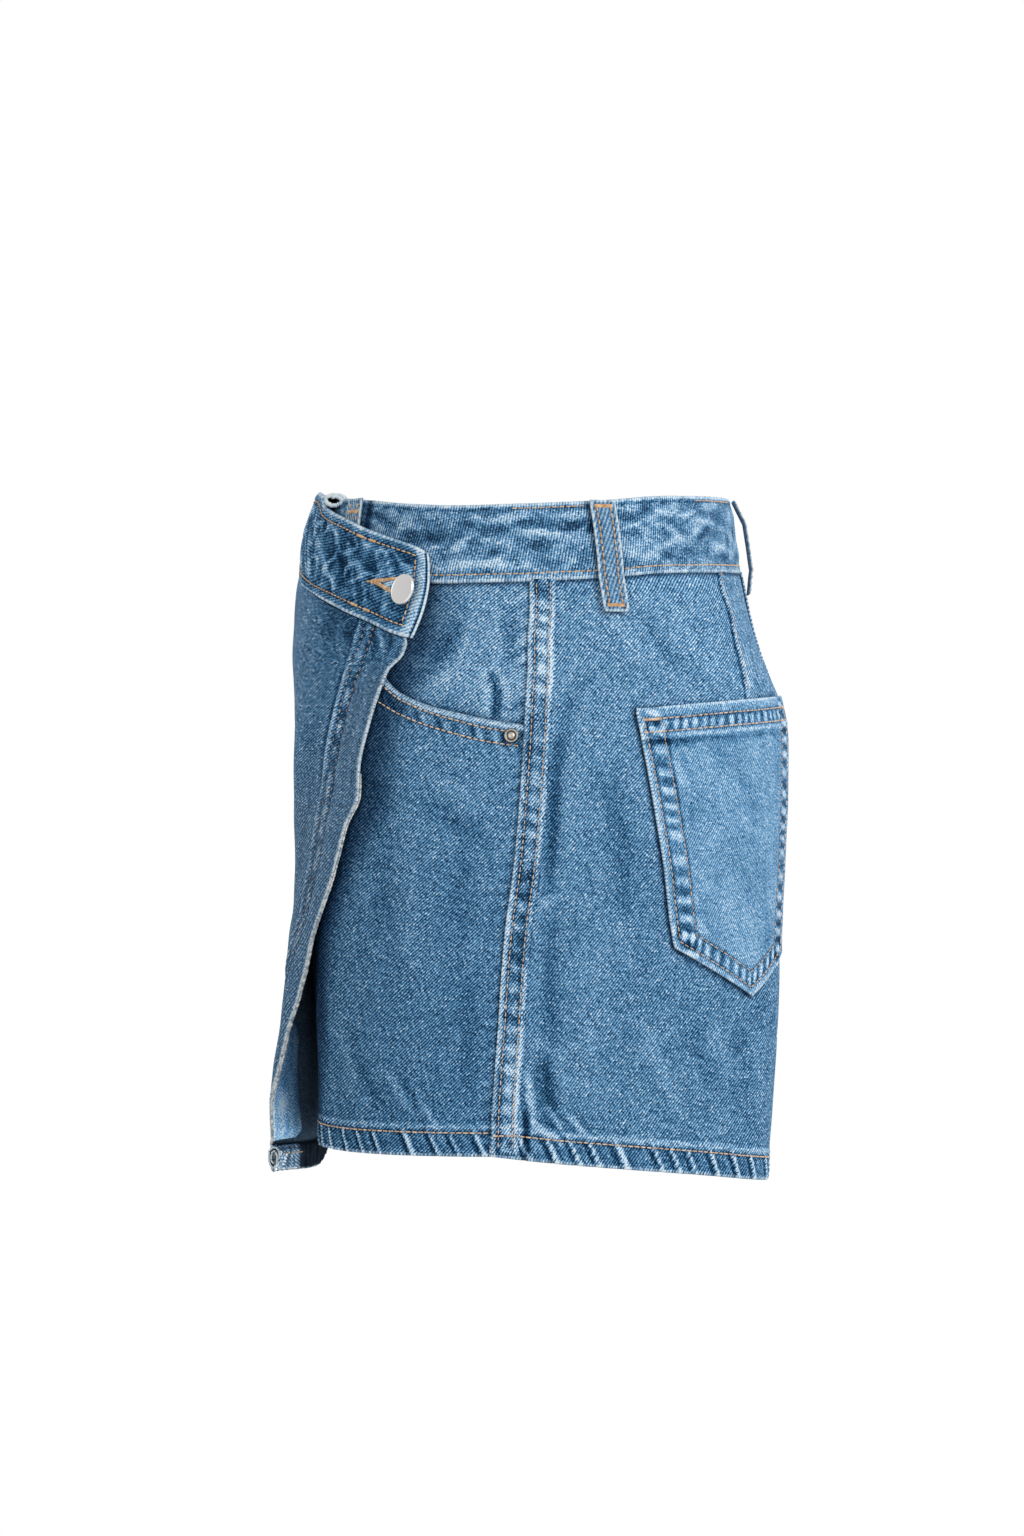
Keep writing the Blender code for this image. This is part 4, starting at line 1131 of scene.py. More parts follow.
def patch_tone(run, z, mouth):
    """Rungs, a pale line under the mouth's hem and a painted shadow in the hollows below it, and soft
    streaks.
    """
    rungs = patch_rungs(run, z)
    shadow_under_hem = bell(mouth - 0.017, 0.002) * np.maximum(0.35 + lumps(run, z, 0.0065, 0.01, 47), 0)
    fade = 0.185 * rungs - 0.03 * np.abs(rungs) + 0.2 * bell(mouth - 0.0146, 0.0008)
    fade = fade - 0.4 * shadow_under_hem * ease(0.165, 0.13, run)
    return fade + 0.07 * lumps(run, z, 0.0075, 0.019, 48, 32) + folds(PATCH_STREAKS, run, z)


# %% Back pockets
for word, side in SIDES.items():
    z, run = patch_place(*grid(spread((0, 0.6, 44), (0.6, 1, 28)), spread((0, 1, 92))))
    mouth, sides, foot = patch_insets(run, z)
    outer = np.minimum(sides, foot)
    inner = np.minimum(sides - PATCH_INNER, foot - PATCH_FOOT_INNER)
    cloth("back_pocket_" + word, DENIM_POCKET, "denim_worn", body_at(z, run, BACK, side),
          pair(side * run, z), patch_lift(run, z), PATCH_WALL, held="laid", on=["back_" + word], laid=True,
          edge=(np.minimum(mouth, outer) + 0.0004) / MM,
          row_a=np.minimum(outer - PATCH_OUTER, mouth - PATCH_MOUTH_ROWS[0]) / MM,
          row_b=np.minimum(inner, mouth - PATCH_MOUTH_ROWS[1]) / MM, fade=patch_tone(run, z, mouth))

# %% [markdown]
# ## Waistband
# One long doubled strip runs round the waist and laps over itself at the front, under
# the wrap's band. It is stitched along both edges, which draws it into short level
# waves, and its middle bulges a little.

# %% The waistband's form
BAND_WALL = 0.0026
LAP_START, LAP_END = -0.014, 0.05
LAP_LIFT = BAND_WALL + 2 * SEAM_GAP
LAP_RAMP = 0.03
BAND_ROW_IN = 0.003
BAND_TOP_ROW_IN = 0.0015
BAND_GUESS_Z = -0.02
# Tones along the band's creases, partly wear and partly painted light and shade; the band's lift uses the
# same creases.
BAND_TONES = [
    (93, 5, 118, 9, 2.2, -170, 0.5), (118, 13, 150, 10.5, 1.4, 140, 0),
    (126, 19, 152, 17, 2.4, -140, 0), (156, 9, 177, 13, 2.6, -180, 0.5),
    (174, 7.5, 198, 5.5, 1.4, 150, -0.5), (186, 14, 214, 17, 1.5, 150, 1),
    (188, 20, 210, 23.5, 2.6, -160, 0.5), (212, 14, 229, 8.5, 2.4, -190, 0.5),
    (242, 15, 262, 10, 1.4, 140, 0), (254, 4.5, 267, 9.5, 2.4, -170, 0.5),
    (265, 17, 278, 22, 2.6, -150, 0.5), (280, 10, 298, 7, 1.5, 130, 0), (293, 23, 313, 14, 2.6, -170, 0),
]

front_round, back_round = [float(QUARTERS[way].length(BAND_GUESS_Z)) for way in (FRONT, BACK)]
band_round = 2 * (front_round + back_round)


def band_at(along, down):
    """A place on the waistband; along runs from the front middle round the left side."""
    along, down = np.broadcast_arrays(np.asarray(along, float), np.asarray(down, float))
    turn = along % band_round
    starts = np.cumsum([0.0, front_round, back_round, back_round])
    quarters = ((FRONT, LEFT, True), (BACK, LEFT, False), (BACK, RIGHT, True), (FRONT, RIGHT, False))
    points, normals = np.zeros(along.shape + (3,)), np.zeros(along.shape + (3,))
    for start, (way, side, to_seam) in zip(starts, quarters):
        length = front_round if way == FRONT else back_round
        here = ((turn >= start) & (turn < start + length + 1e-9))[..., None]
        share = np.clip((turn - start) / length, 0, 1)
        share = 1 - share if to_seam else share
        z = band_top(share, way) - down * BAND_HEIGHT
        found = body_at(z, share * QUARTERS[way].length(z), way, side)
        points, normals = np.where(here, found[0], points), np.where(here, found[1], normals)
    return points, normals


# %% The waistband's relief and tones
def band_creases(along, height):
    at_side = 0.4 + 0.6 * flat_bell(along - 0.26, 0.15)
    return at_side * (creased(along, height, 0.019, 0.009, 57, 10, 0.22) - 0.4)


def off_band_rows(height):
    return np.minimum(np.abs(height - BAND_TOP_ROW_IN), np.abs(BAND_HEIGHT - height - BAND_ROW_IN))


def band_tone(along, down):
    """Level streaks, a pale lower half before the side loop, a rubbed top edge, and creases paler and
    darker, partly wear and partly painted light and shade.
    """
    height = down * BAND_HEIGHT
    inner = ease(0.003, 0.007, np.minimum(height, BAND_HEIGHT - height))
    streaks = lumps(along + 0.5 * height, height, 0.034, 0.0056, 55, -6)
    halves = 0.08 * bell(down - 0.76, 0.17) - 0.09 * bell(down - 0.32, 0.22)
    fade = folds(BAND_TONES, along, height) + inner * (0.06 * band_creases(along, height) + 0.12 * streaks)
    fade = fade + halves * flat_bell(along - 0.172, 0.042) + 0.16 * bell(height, 0.0013)
    return fade + 0.16 * bell(BAND_HEIGHT - height - 0.0011, 0.0012)


def band_lift(along, down, seed=53):
    """Stitching along both edges draws the band into short, nearly level waves."""
    height = down * BAND_HEIGHT
    to_edge = np.minimum(height, BAND_HEIGHT - height)
    inner = ease(0.003, 0.008, to_edge)
    waves = 0.0006 * inner * lumps(along, height, 0.021, 0.0062, seed, 8)
    waves = waves + 0.0005 * inner * band_creases(along, height)
    waves = waves + 0.003 * folds(BAND_TONES, along, height)
    waves = waves + 0.0004 * lumps(along, height, 0.009, 0.0075, seed + 1, -20)
    rope = 0.00022 * uneven_wave(along + to_edge * 0.8, 0.0042, seed + 2) * bell(to_edge, 0.003)
    ramp_start = band_round + LAP_START - LAP_RAMP
    lap = LAP_LIFT * np.clip((along - ramp_start) / (LAP_RAMP - 0.004), 0, 1)
    relief = 0.0006 * arch(down) + waves + rope - 0.00025 * bell(off_band_rows(height), 0.001)
    return BAND_PROUD + lap + relief


# %% Waistband
along, down = grid(spread((LAP_START, band_round + LAP_END, 330)), spread((0, 1, 20)))
to_edge = np.minimum(down, 1 - down) * BAND_HEIGHT
# Painted shadows on the band: a dark stripe beside the front loop and thin dark lines round the side loop.
front_loop_shadow = flat_bell(along - front_round + 0.0978, 0.0026) * ease(0.8, 0.55, down)
side_loop = 0.0335 + 0.007 * down
side_loop_shadow = laid_shadow(0.55, np.abs(along - front_round - side_loop) - 0.006)
cloth("waistband", DENIM_BAND, "denim_band", band_at(along, down), pair(along, -down * BAND_HEIGHT),
      band_lift(along, down), BAND_WALL, laid=True, edge=(to_edge + 0.0003) / MM,
      row_a=off_band_rows(down * BAND_HEIGHT) / MM, fade=band_tone(along, down), grey=0.06,
      shade=(1 - 0.85 * front_loop_shadow) * side_loop_shadow)


# %% Rolled ends
def make_roll(name, node, slot, middle, half, depth, wall, turns, closing, pale):
    """Doubled cloth rolled up at its end, seen along the roll: a ragged pale ring."""
    deep, turn = grid(spread((0, 1, 8)), spread((0, turns, 60)))
    around, up = np.cos(2 * math.pi * turn), np.sin(2 * math.pi * turn)
    ragged = 1 + 0.1 * lumps(8 * turn, deep, 0.35, 0.6, 58)
    inward = 1 - closing * turn
    points = np.stack(np.broadcast_arrays(
        middle[0] + deep * depth,
        middle[1] + around * half[0] * inward * ragged,
        middle[2] + up * half[1] * inward * ragged,
    ), -1)
    normals = np.stack(np.broadcast_arrays(0 * deep, around / half[0], up / half[1]), -1)
    normals = normals / np.linalg.norm(normals, axis=2, keepdims=True)
    from_end = (1 - deep) * depth / MM
    rolled = lengths(points[:, 0, 1], points[:, 0, 2])[:, None]
    # The roll's inside is painted in shade, except near its open end.
    cloth(name, DENIM_WRAP, slot, (points, normals), pair(rolled, deep * depth), 0.0, wall, node=node,
          held="laid", on=[node], inside_shade=0.22 + 0.78 * ease(0.88, 1.0, deep),
          edge=0.8 * from_end - 0.3 + 0.9 * lumps(8 * turn, deep, 0.3, 0.5, 59),
          fade=pale * bell(from_end, 2.0), grey=0.04 + 0.16 * bell(from_end, 2.0))


LAP_ROLL = ((0.048, -0.1043, -0.0047), (0.0066, 0.0045), 0.018, 0.0022, 1.3, 0.24, 0.46)
make_roll("waistband_rolled_end", "waistband", "denim_band", *LAP_ROLL)

# %% [markdown]
# ## Wrap panel and its facing
# The wrap hangs from its own band across the whole front. From the right side seam it
# bridges both legs, then rounds the left hip to a free edge. Near that edge the cloth
# stands forward in a long ridge and its lower corner curls. The free edge is doubled on
# the inside by a facing, held by two rows of stitches that pucker the cloth between them.

# %% The wrap's form
WRAP = Table("z gap edge_run ridge ridge_in ridge_width", [
    (-30, 6.8, 156, 0, 60, 26), (-52, 7.4, 157, 0, 60, 26), (-66, 7.2, 158, 0, 60, 26),
    (-78, 6.8, 160, 0, 60, 26), (-83, 6.7, 163, 0, 60, 26), (-89, 6.3, 162.5, 0, 60, 26),
    (-97, 5.8, 156, 0, 60, 26), (-112, 5.2, 153.5, 0, 60, 26), (-122, 5.2, 152.5, 0.2, 60, 26),
    (-143, 5.2, 151, 0.5, 60, 26), (-162, 5.2, 153.5, 1.0, 58, 26), (-176, 5.2, 147, 1.5, 56, 26),
    (-195, 5.0, 142, 2.5, 52, 26), (-206, 5.0, 138.5, 3.4, 49, 26), (-217, 5.0, 132, 4.3, 46, 26),
    (-237, 5.2, 118.5, 8.0, 36, 24), (-259, 5.4, 111.5, 11.0, 25, 22), (-270, 5.2, 106.5, 13.0, 21, 20),
    (-288, 5.0, 95.5, 16.0, 14, 16), (-306, 4.8, 95, 19.5, 10, 20), (-323, 4.6, 94, 21.5, 3, 27),
    (-345, 4.6, 94, 20.5, 0, 28), (-372, 4.6, 94, 20.5, 0, 28),
])
WRAP_SEAM_LIFT = 0.0036
RIDGE_EDGE_WIDTH = 0.024


def wrap_section(z):
    """From the right side seam, across the front and round to the free edge."""
    x, y = lobe(z, -np.linspace(0, math.pi / 2, SECTION_STEPS))
    to_front = np.sin(np.linspace(0, math.pi / 2, SECTION_STEPS))
    gap = WRAP_SEAM_LIFT + (WRAP.read("gap", z) - WRAP_SEAM_LIFT) * to_front
    tangent = np.stack([np.gradient(x), np.gradient(y)])
    tangent /= np.hypot(*tangent)
    x, y = x - tangent[1] * gap, y + tangent[0] * gap
    x, y = np.concatenate([-x, x[::-1]]), np.concatenate([y, y[::-1]])
    run = lengths(x, y)
    edge_run, ridge, ridge_in, ridge_width = [
        float(WRAP.read(name, z)) for name in ("edge_run", "ridge", "ridge_in", "ridge_width")]
    to_edge = run[-1] / 2 + edge_run
    even = np.linspace(0, to_edge, 3 * SECTION_STEPS)
    inside = to_edge - even
    width = np.where(inside > ridge_in, ridge_width, RIDGE_EDGE_WIDTH)
    return np.interp(even, run, x), np.interp(even, run, y) - ridge * bell(inside - ridge_in, width)


WRAP_FORM = Form(wrap_section, -0.374, -0.03, 520)
WRAP_HEM = Table("share z", [
    (0, -345.5), (0.2, -350.0), (0.45, -356.5), (0.6, -359.5), (0.72, -360.3), (0.85, -359.6), (1, -357.5),
], plain="share")
WRAP_BAND = Table("along top foot stand_off", [
    (-200, -11.5, -52.0, 5.4), (-150, -8.5, -49.5, 5.8), (-90, -3.5, -44.5, 6.8), (-40, -0.5, -40.5, 7.4),
    (0, 0.2, -39.0, 7.4), (24, 0.0, -43.5, 7.4), (44, -2.5, -49.0, 7.4), (60, -10.5, -53.2, 7.2),
    (87, -17.8, -60.8, 7.0), (105, -23.6, -66.5, 6.8), (124, -29.2, -72.9, 6.4), (137, -33.0, -78.0, 6.0),
    (149, -37.5, -81.5, 5.8),
])
BAND_RUN_SCALE = 0.96
TAB_END = 0.149
TAB_FOOT_SPREAD = 0.0095


def tab_spread(along, down):
    """How much further round the band's foot reaches than its top edge."""
    return TAB_FOOT_SPREAD * np.sin(down * math.pi * 0.6) * (np.maximum(along, 0.0) / TAB_END) ** 2


def wrap_top(share):
    """Where the band's foot crosses the wrap, found by stepping closer."""
    foot = -0.05 + 0 * share
    for _ in range(6):
        length = WRAP_FORM.length(foot)
        middle = length - WRAP.read("edge_run", foot)
        along = (share * length - middle) * BAND_RUN_SCALE
        foot = WRAP_BAND.read("foot", along - tab_spread(along, 1.0)) - BAND_TUCK
    return foot


print("wrap section at mid height: %.0f mm" % (1000 * WRAP_FORM.length(-0.2)))

# %% The wrap's folds, rows and hem
WRAP_ROWS = Table("z first second", [
    (-70, 132.0, 138.2), (-87, 131.7, 138.5), (-94, 130.8, 137.0), (-102, 129.2, 134.8),
    (-120, 128.2, 132.8), (-135, 127.0, 132.0), (-151, 126.0, 131.5), (-169, 123.5, 129.5),
    (-189, 119.5, 126.5), (-217, 109.0, 115.5), (-237, 96.0, 102.5), (-288, 72.0, 79.0),
    (-345, 70.0, 77.0),
])
WEAVE_EVENED = 28
CORNER_WIDTH = 0.022
WRAP_START, WRAP_END = 0.0008, 0.0006
FOLDS_BY_EDGE = [
    (27, -86, 29, -150, 3, 0.8, 0), (31, -84, 33, -170, 2.5, -0.8, 0),
    (20, -90, 21, -190, 3, -0.7, 0), (8, -100, 8, -150, 4, 0.5, 1),
    (50, -120, 44, -230, 9, -1.3, 2), (72, -90, 78, -200, 11, 1.3, 2),
    (100, -110, 100, -260, 13, -1.6, -3), (135, -70, 150, -220, 14, 1.5, 3),
    (180, -120, 176, -330, 16, -1.8, 3), (235, -80, 240, -250, 16, 1.6, -3),
    (285, -150, 270, -340, 15, -1.6, 2), (330, -90, 335, -260, 14, 1.4, 2),
    (60, -250, 75, -345, 10, -1.3, 2), (120, -270, 130, -350, 10, 1.2, 0),
    (225, -280, 215, -350, 11, 1.1, 0), (310, -290, 320, -350, 10, 1.2, 0),
]
GATHERS = [
    (17, -74, 13, -89, 1.3, 480, -0.8), (14, -72, 9, -84, 2.4, -160, 0),
    (33.5, -76, 29.5, -101, 1.2, 380, 0.5), (38, -70, 34, -94, 3.5, -120, 0),
    (24.5, -78, 22, -93, 1.0, 190, 0), (21, -72, 19, -92, 1.6, -220, 0), (50, -66, 44, -90, 3.0, 120, 0),
]


def wrap_hem(share):
    return WRAP_HEM.read("z", share)


def off_row(name, z, inside):
    """How far a place lies from one of the rows beside the free edge."""
    return WRAP.read("edge_run", z) - inside - WRAP_ROWS.read(name, z)


# %% The wrap's relief and tones
def wrap_lift(z, inside, hem):
    first, second = off_row("first", z, inside), off_row("second", z, inside)
    sewn = ease(-0.3, -0.27, z)
    lift = folds(FOLDS_BY_EDGE, inside, z) + roping(-inside, z - hem, 61, 0.0007)
    lift = lift + 0.00045 * sewn * bell(first - 0.003, 0.0032) * lumps(inside, z, 0.0055, 0.006, 65)
    grooves = bell(first, 0.001) + bell(second, 0.001)
    lift = lift + sewn * (0.0005 * bell(first + 0.004, 0.0012) - 0.0003 * grooves)
    lift = lift + 0.00035 * lumps(inside, z, 0.012, 0.03, 67)
    return lift + 0.0004 * bell(inside - 0.0012, 0.0016)


def wrap_tone(z, inside, hem, below):
    """Painted shadow and gathers under its band, pale and dark blocks between its two rows."""
    first = off_row("first", z, inside)
    near = ease(0.085, 0.055, inside)
    tab_shadow = -0.21 * bell(below, 0.02) * near * ease(-0.003, 0.014, inside)
    gathers = 0.13 * near * bell(below, 0.022) * lumps(inside, z, 0.004, 0.012, 62, 12)
    gathers = gathers + folds(GATHERS, inside, z)
    between = bell(first - 0.003, 0.004) * ease(-0.26, -0.2, z)
    blocks = (0.24 * lumps(inside, z, 0.0045, 0.005, 65) + 0.04) * between
    fold_line = 0.13 * bell(first + 0.0042, 0.0009) * ease(-0.19, -0.15, z)
    deeper = 0.012 - 0.045 * ease(0.07, 0.045, inside) * ease(-0.17, -0.13, z)
    return tab_shadow + gathers + blocks + fold_line + deeper + 0.08 * rope_wave(-inside, z - hem, 61)


def wrap_grey(z, inside):
    """The grey cast is strongest beside the free edge and towards the foot."""
    beside_edge = ease(0.024, 0.016, inside) * ease(-0.085, -0.11, z)
    return 0.04 + 0.26 * np.maximum(beside_edge, ease(-0.12, -0.18, z))


def corner_thickness(inside, above):
    """The hem is thicker at the free corner, where it was folded twice."""
    near_corner = bell(inside, CORNER_WIDTH) * ease(HEM_DEPTH, HEM_DEPTH - 0.0025, above)
    rolled_top = 0.0022 * bell(above - 0.0088, 0.0024)
    upright_folds = 0.0007 * uneven_wave(inside, 0.0062, 63) * ease(0.0095, 0.006, above)
    return near_corner * (0.0012 * ease(0.0, 0.003, above) + rolled_top + upright_folds)


def inner_light(inside, above):
    """The inside is in shadow, but its hem catches light away from the corner."""
    within_hem = (2.6 - 2.42 * ease(0.022, 0.031, inside)) * (1 + 0.5 * uneven_wave(inside, 0.005, 63))
    over_hem = 0.52 * (1 - 0.8 * bell(above - HEM_DEPTH - 0.0006, 0.0012))
    return np.where(above < HEM_DEPTH, within_hem, over_hem)


# %% Wrap panel
share = np.concatenate([spread((0, 0.78, 118)), spread((0.786, 1, 56))])
share, level = grid(share, spread((0, 0.94, 104), (0.94, 1, 26)))
top, hem = wrap_top(share), wrap_hem(share)
z = top + level * (hem - top)
length, above = WRAP_FORM.length(z), z - hem
run = WRAP_START + share * (length - (WRAP_START + WRAP_END))
inside = length - run
points, normals = WRAP_FORM.read(z, run)
weave = relaxed(run, normals, 0.36 + 0.64 * ease(0.08, 0.125, inside), WEAVE_EVENED)
cloth("wrap_panel", DENIM_WRAP, "denim_dark", (points, normals), pair(weave, z), wrap_lift(z, inside, hem),
      hem_thickness(z, hem) + corner_thickness(inside, above), on=["wrap_band"],
      turned_up=above < HEM_DEPTH, inside_shade=inner_light(inside, above),
      fade=wrap_tone(z, inside, hem, top - z), grey=wrap_grey(z, inside),
      edge=0.5 * (np.minimum(inside, above + 0.0016) + 0.0002) / MM,
      row_a=np.minimum(np.abs(off_row("first", z, inside)), above - HEM_ROW) / MM,
      row_b=off_row("second", z, inside) / MM)

HEM_ROLL_Z = -0.353
corner, _ = WRAP_FORM.read(HEM_ROLL_Z, WRAP_FORM.length(HEM_ROLL_Z) - 0.003)
HEM_ROLL = (corner + (-0.004, 0.0012, 0.0018), (0.0036, 0.007), 0.0106, 0.0009, 1.75, 0.34, 0.06)
make_roll("wrap_hem_rolled_end", "wrap_panel", "denim_dark", *HEM_ROLL)

# %% Facing
FACING_WIDTH = 0.031
FACING_DEPTH = 0.002
FACING_WALL = 0.0011
FACING_TOP = -0.0815

hem_here = float(wrap_hem(1.0))
foot = hem_here + HEM_DEPTH + 0.003
rows = spread((FACING_TOP, foot + 0.008, 104), (foot + 0.008, foot, 14))
inside, z = grid(spread((FACING_WIDTH, 0.001, 14)), rows)
inside = inside * (1 - 0.15 * bell(z - foot, 0.0021))
z = z + 0 * inside
points, normals = WRAP_FORM.read(z, WRAP_FORM.length(z) - inside)
low_end = ease(foot, foot + 0.006, z)
puffed = 0.0022 * arch(inside / FACING_WIDTH) ** 0.7 * ease(-0.15, -0.23, z) * low_end
points = points + normals * (wrap_lift(z, inside, hem_here) - FACING_DEPTH - puffed)[..., None]
# The facing is painted in shade towards its inner side and painted lighter at its foot.
cloth("wrap_facing", DENIM_FACING, "denim_worn", (points, -normals),
      pair(relaxed(-inside, normals, 0.5), z), 0.0, FACING_WALL, held="laid", on=["wrap_panel"],
      edge=0.42 * inside / MM, grey=0.02,
      fade=0.16 * lumps(inside, z, 0.004, 0.012, 69) + 0.1 * ease(-0.18, -0.24, z),
      shade=(1 - 0.55 * ease(0.012, 0.03, inside)) * (1 - 0.25 * low_end + 0.25))

# %% [markdown]
# ## The wrap's band and its tab
# The wrap's own band lies over the waistband, dips round the left hip and ends in a
# square tab, which the button holds. It is doubled cloth and stitched along every edge.

# %% The tab's form and relief
TAB_FOLDS = [
    (60, 14, 84, 30, 3, 0.8, 0), (76, 6, 100, 34, 3, -0.7, 1), (92, 8, 112, 30, 3, 0.7, 0),
    (104, 20, 132, 36, 3, 0.6, 0), (40, 10, 66, 34, 4, -0.8, 1), (20, 12, 40, 30, 4, 0.8, 0),
]
TAB_ROW_IN = 0.004
TAB_END_ROW_IN = 0.0078


def tab_height(along):
    return WRAP_BAND.read("top", along) - WRAP_BAND.read("foot", along)


def tab_at(along, down):
    top, foot = WRAP_BAND.read("top", along), WRAP_BAND.read("foot", along)
    return front_at(top + down * (foot - top), along + tab_spread(along, down))


def tab_waves(along, height):
    """Crooked thin creases over soft hollows, as the button pulls on the tab."""
    crooked = creased(along, height, 0.0066, 0.008, 74, -30, 0.2) - 0.35
    hollows = lumps(along, height, 0.008, 0.011, 71, -26)
    return (0.7 * crooked + 0.5 * hollows) * (0.45 + 0.55 * ease(0.000, 0.04, along))


def tab_lift(along, down):
    tall, from_end = tab_height(along), TAB_END - along
    height = down * tall
    to_edge = least(height, tall - height, from_end - 0.0024)
    puffed = 0.0022 * arch(down) * bell(along - 0.03, 0.05)
    waves = 0.0009 * ease(0.003, 0.009, to_edge) * tab_waves(along, height)
    waves = waves + 0.0005 * lumps(along, height, 0.011, 0.009, 72)
    relief = waves + folds(TAB_FOLDS, along, height) - 0.00025 * bell(to_edge - TAB_ROW_IN, 0.001)
    plies = 0.0006 * ease(0.0019, 0.0012, from_end) + 0.0008 * bell(from_end - 0.0012, 0.0004)
    relief = relief + 0.0003 * bell(to_edge - 0.0012, 0.0016) - plies
    return WRAP_BAND.read("stand_off", along) + puffed + relief


# %% The wrap's band
tab_start = 0.0014 - float(QUARTERS[FRONT].length(-0.03))
along = spread((tab_start, 0, 82), (0, TAB_END - 0.008, 72), (TAB_END - 0.008, TAB_END, 20))
along, down = grid(along, spread((0, 1, 24)))
points, normals = tab_at(along, down)
tall, from_end = tab_height(along), TAB_END - along
to_edge = np.minimum(down, 1 - down) * tall
# Painted shade in the gap between the tab's two plies at its end.
shade_between_plies = bell(from_end - 0.0012, 0.00045) * (1 - 0.7 * bell(down - 0.55, 0.12))
fade = 0.26 * tab_waves(along, down * tall) * ease(0.008, 0.012, from_end)
fade = fade + 0.09 * ease(0.092, 0.07, along)
fade = fade + 0.42 * flat_bell(from_end - 0.0042, 0.0026) + 0.3 * ease(0.0008, 0.0004, from_end)
cloth("wrap_band", DENIM_TAB, "denim_dark", (points, normals),
      pair(relaxed(along + 0 * down, normals, 0.45), -down * tall), tab_lift(along, down),
      BAND_WALL * (1 - 0.45 * ease(0.004, 0.001, from_end)), held="laid", on=["waistband"], laid=True,
      edge=(np.minimum(to_edge, from_end) + 0.0003) / MM, fade=fade, shade=1 - 0.85 * shade_between_plies,
      row_a=np.minimum(to_edge - TAB_ROW_IN, from_end - TAB_END_ROW_IN) / MM)

# %% [markdown]
# ## Belt loops
# Each loop is a narrow strip folded to three thicknesses with a row of stitches along
# both sides and a bar tack at both ends. The centre back loop is seen from the side and
# bows away from the band; the others lie flat on it.

# %% Belt loops
LOOP_WIDTH = 0.0124
LOOP_WALL = 0.0015
LOOP_ROW_IN = 0.0026
FLAT_LOOP = (0.0004, 0.001, 0.001, 0.001, 0.0004)
BOWED_LOOP = (0.0006, 0.0048, 0.005, 0.0048, 0.0008)
# The last number pales a loop; the front loop's larger one is painted light, making up for the shade it
# lies in.
BELT_LOOPS = {
    "belt_loop_side_left": (BACK, LEFT, 0.035, 0.0445, -0.01, -0.0675, FLAT_LOOP, 0.05),
    "belt_loop_side_right": (BACK, RIGHT, 0.035, 0.0445, -0.01, -0.0675, FLAT_LOOP, 0.05),
    "belt_loop_front_left": (FRONT, LEFT, 0.1065, 0.1065, -0.0062, -0.0555, FLAT_LOOP, 0.15),
    "belt_loop_back": (BACK, LEFT, None, None, -0.0015, -0.052, BOWED_LOOP, 0.05),
}


def loop_at(name, across, down):
    """A place on a belt loop, across from -0.5 to 0.5 of its width, and how far it lifts."""
    way, side, top, foot, top_z, foot_z, offsets, _ = BELT_LOOPS[name]
    z = top_z + down * (foot_z - top_z) + 0 * across
    middle = QUARTERS[way].length(z) if top is None else top + down * (foot - top)
    bow = np.interp(down, np.linspace(0, 1, len(offsets)), offsets)
    rims = 0.00025 * bell((0.5 - np.abs(across)) * LOOP_WIDTH, 0.0013)
    lift = BAND_PROUD + SEAM_GAP + bow + LOOP_WALL + 0.0007 + rims
    return body_at(z, middle + across * LOOP_WIDTH, way, side), lift


for name, (*_, top_z, foot_z, _, pale) in BELT_LOOPS.items():
    across, down = grid(spread((-0.5, 0.5, 10)), spread((0, 1, 40)))
    place, lift = loop_at(name, across, down)
    tall = top_z - foot_z
    side_in = (0.5 - np.abs(across)) * LOOP_WIDTH
    end_in = np.minimum(down, 1 - down) * tall
    cloth(name, DENIM_LOOP, "denim_worn", place, pair(across * LOOP_WIDTH, -down * tall), lift, LOOP_WALL,
          held="laid", on=["waistband"], laid=True, edge=(np.minimum(side_in, end_in) + 0.0003) / MM,
          row_a=(side_in - LOOP_ROW_IN) / MM, grey=0.24, fade=pale)

# %% [markdown]
# ## Button and rivet
# The button is a satin nickel jeans button: a flat face with a thin raised rim, pressed
# on a tack through the tab. The rivet that guards the pocket's corner is a small domed
# ring of the same metal, a little duller. Both are turned from a profile.

# %% Turned metal
BUTTON_RADIUS, BUTTON_HEIGHT = 0.0081, 0.0042
BUTTON_ALONG, BUTTON_DROP = 0.1397, 0.55
BUTTON_STAND = 0.0079
BUTTON_NORMAL = (0.682, -0.699, 0.214)
RIVET_RADIUS, RIVET_HEIGHT = 0.0038, 0.0018
RIVET_Z, RIVET_FROM_SEAM = -0.131, 0.0062
RIVET_STAND = 0.0012
TURNED_SIDES = 72
SHARP_ANGLE = math.radians(40)
TARNISH = (0.11, 0.1, 0.09, 1.0)
BUTTON_PROFILE = [
    (0, 0), (0.5, 0), (0.5, 0.42), (0.9, 0.48), (0.97, 0.56), (1, 0.68), (1, 0.82),
    (0.98, 0.93), (0.95, 1), (0.92, 1), (0.895, 0.95), (0.85, 0.93), (0, 0.95),
]
RIVET_PROFILE = [
    (0, 0), (1, 0), (1, 0.35), (0.93, 0.62), (0.8, 0.72), (0.66, 0.62),
    (0.58, 0.52), (0.52, 0.66), (0.4, 0.92), (0.2, 1), (0, 1.02),
]


def nickel(name, roughness, colour):
    paint = Paint(name, roughness=roughness, specular=0.5)
    where = paint.node("ShaderNodeTexCoord", {}, {}, output=3)
    cloudy = paint.noise(where, 900.0, 3.0)
    paint.surface.inputs["Metallic"].default_value = 0.75
    bright = paint.mix(paint.attribute("tarnish"), (*colour, 1.0), TARNISH)
    return paint.finish(Base_Color=bright, Roughness=roughness + (cloudy - 0.5) * 0.25)


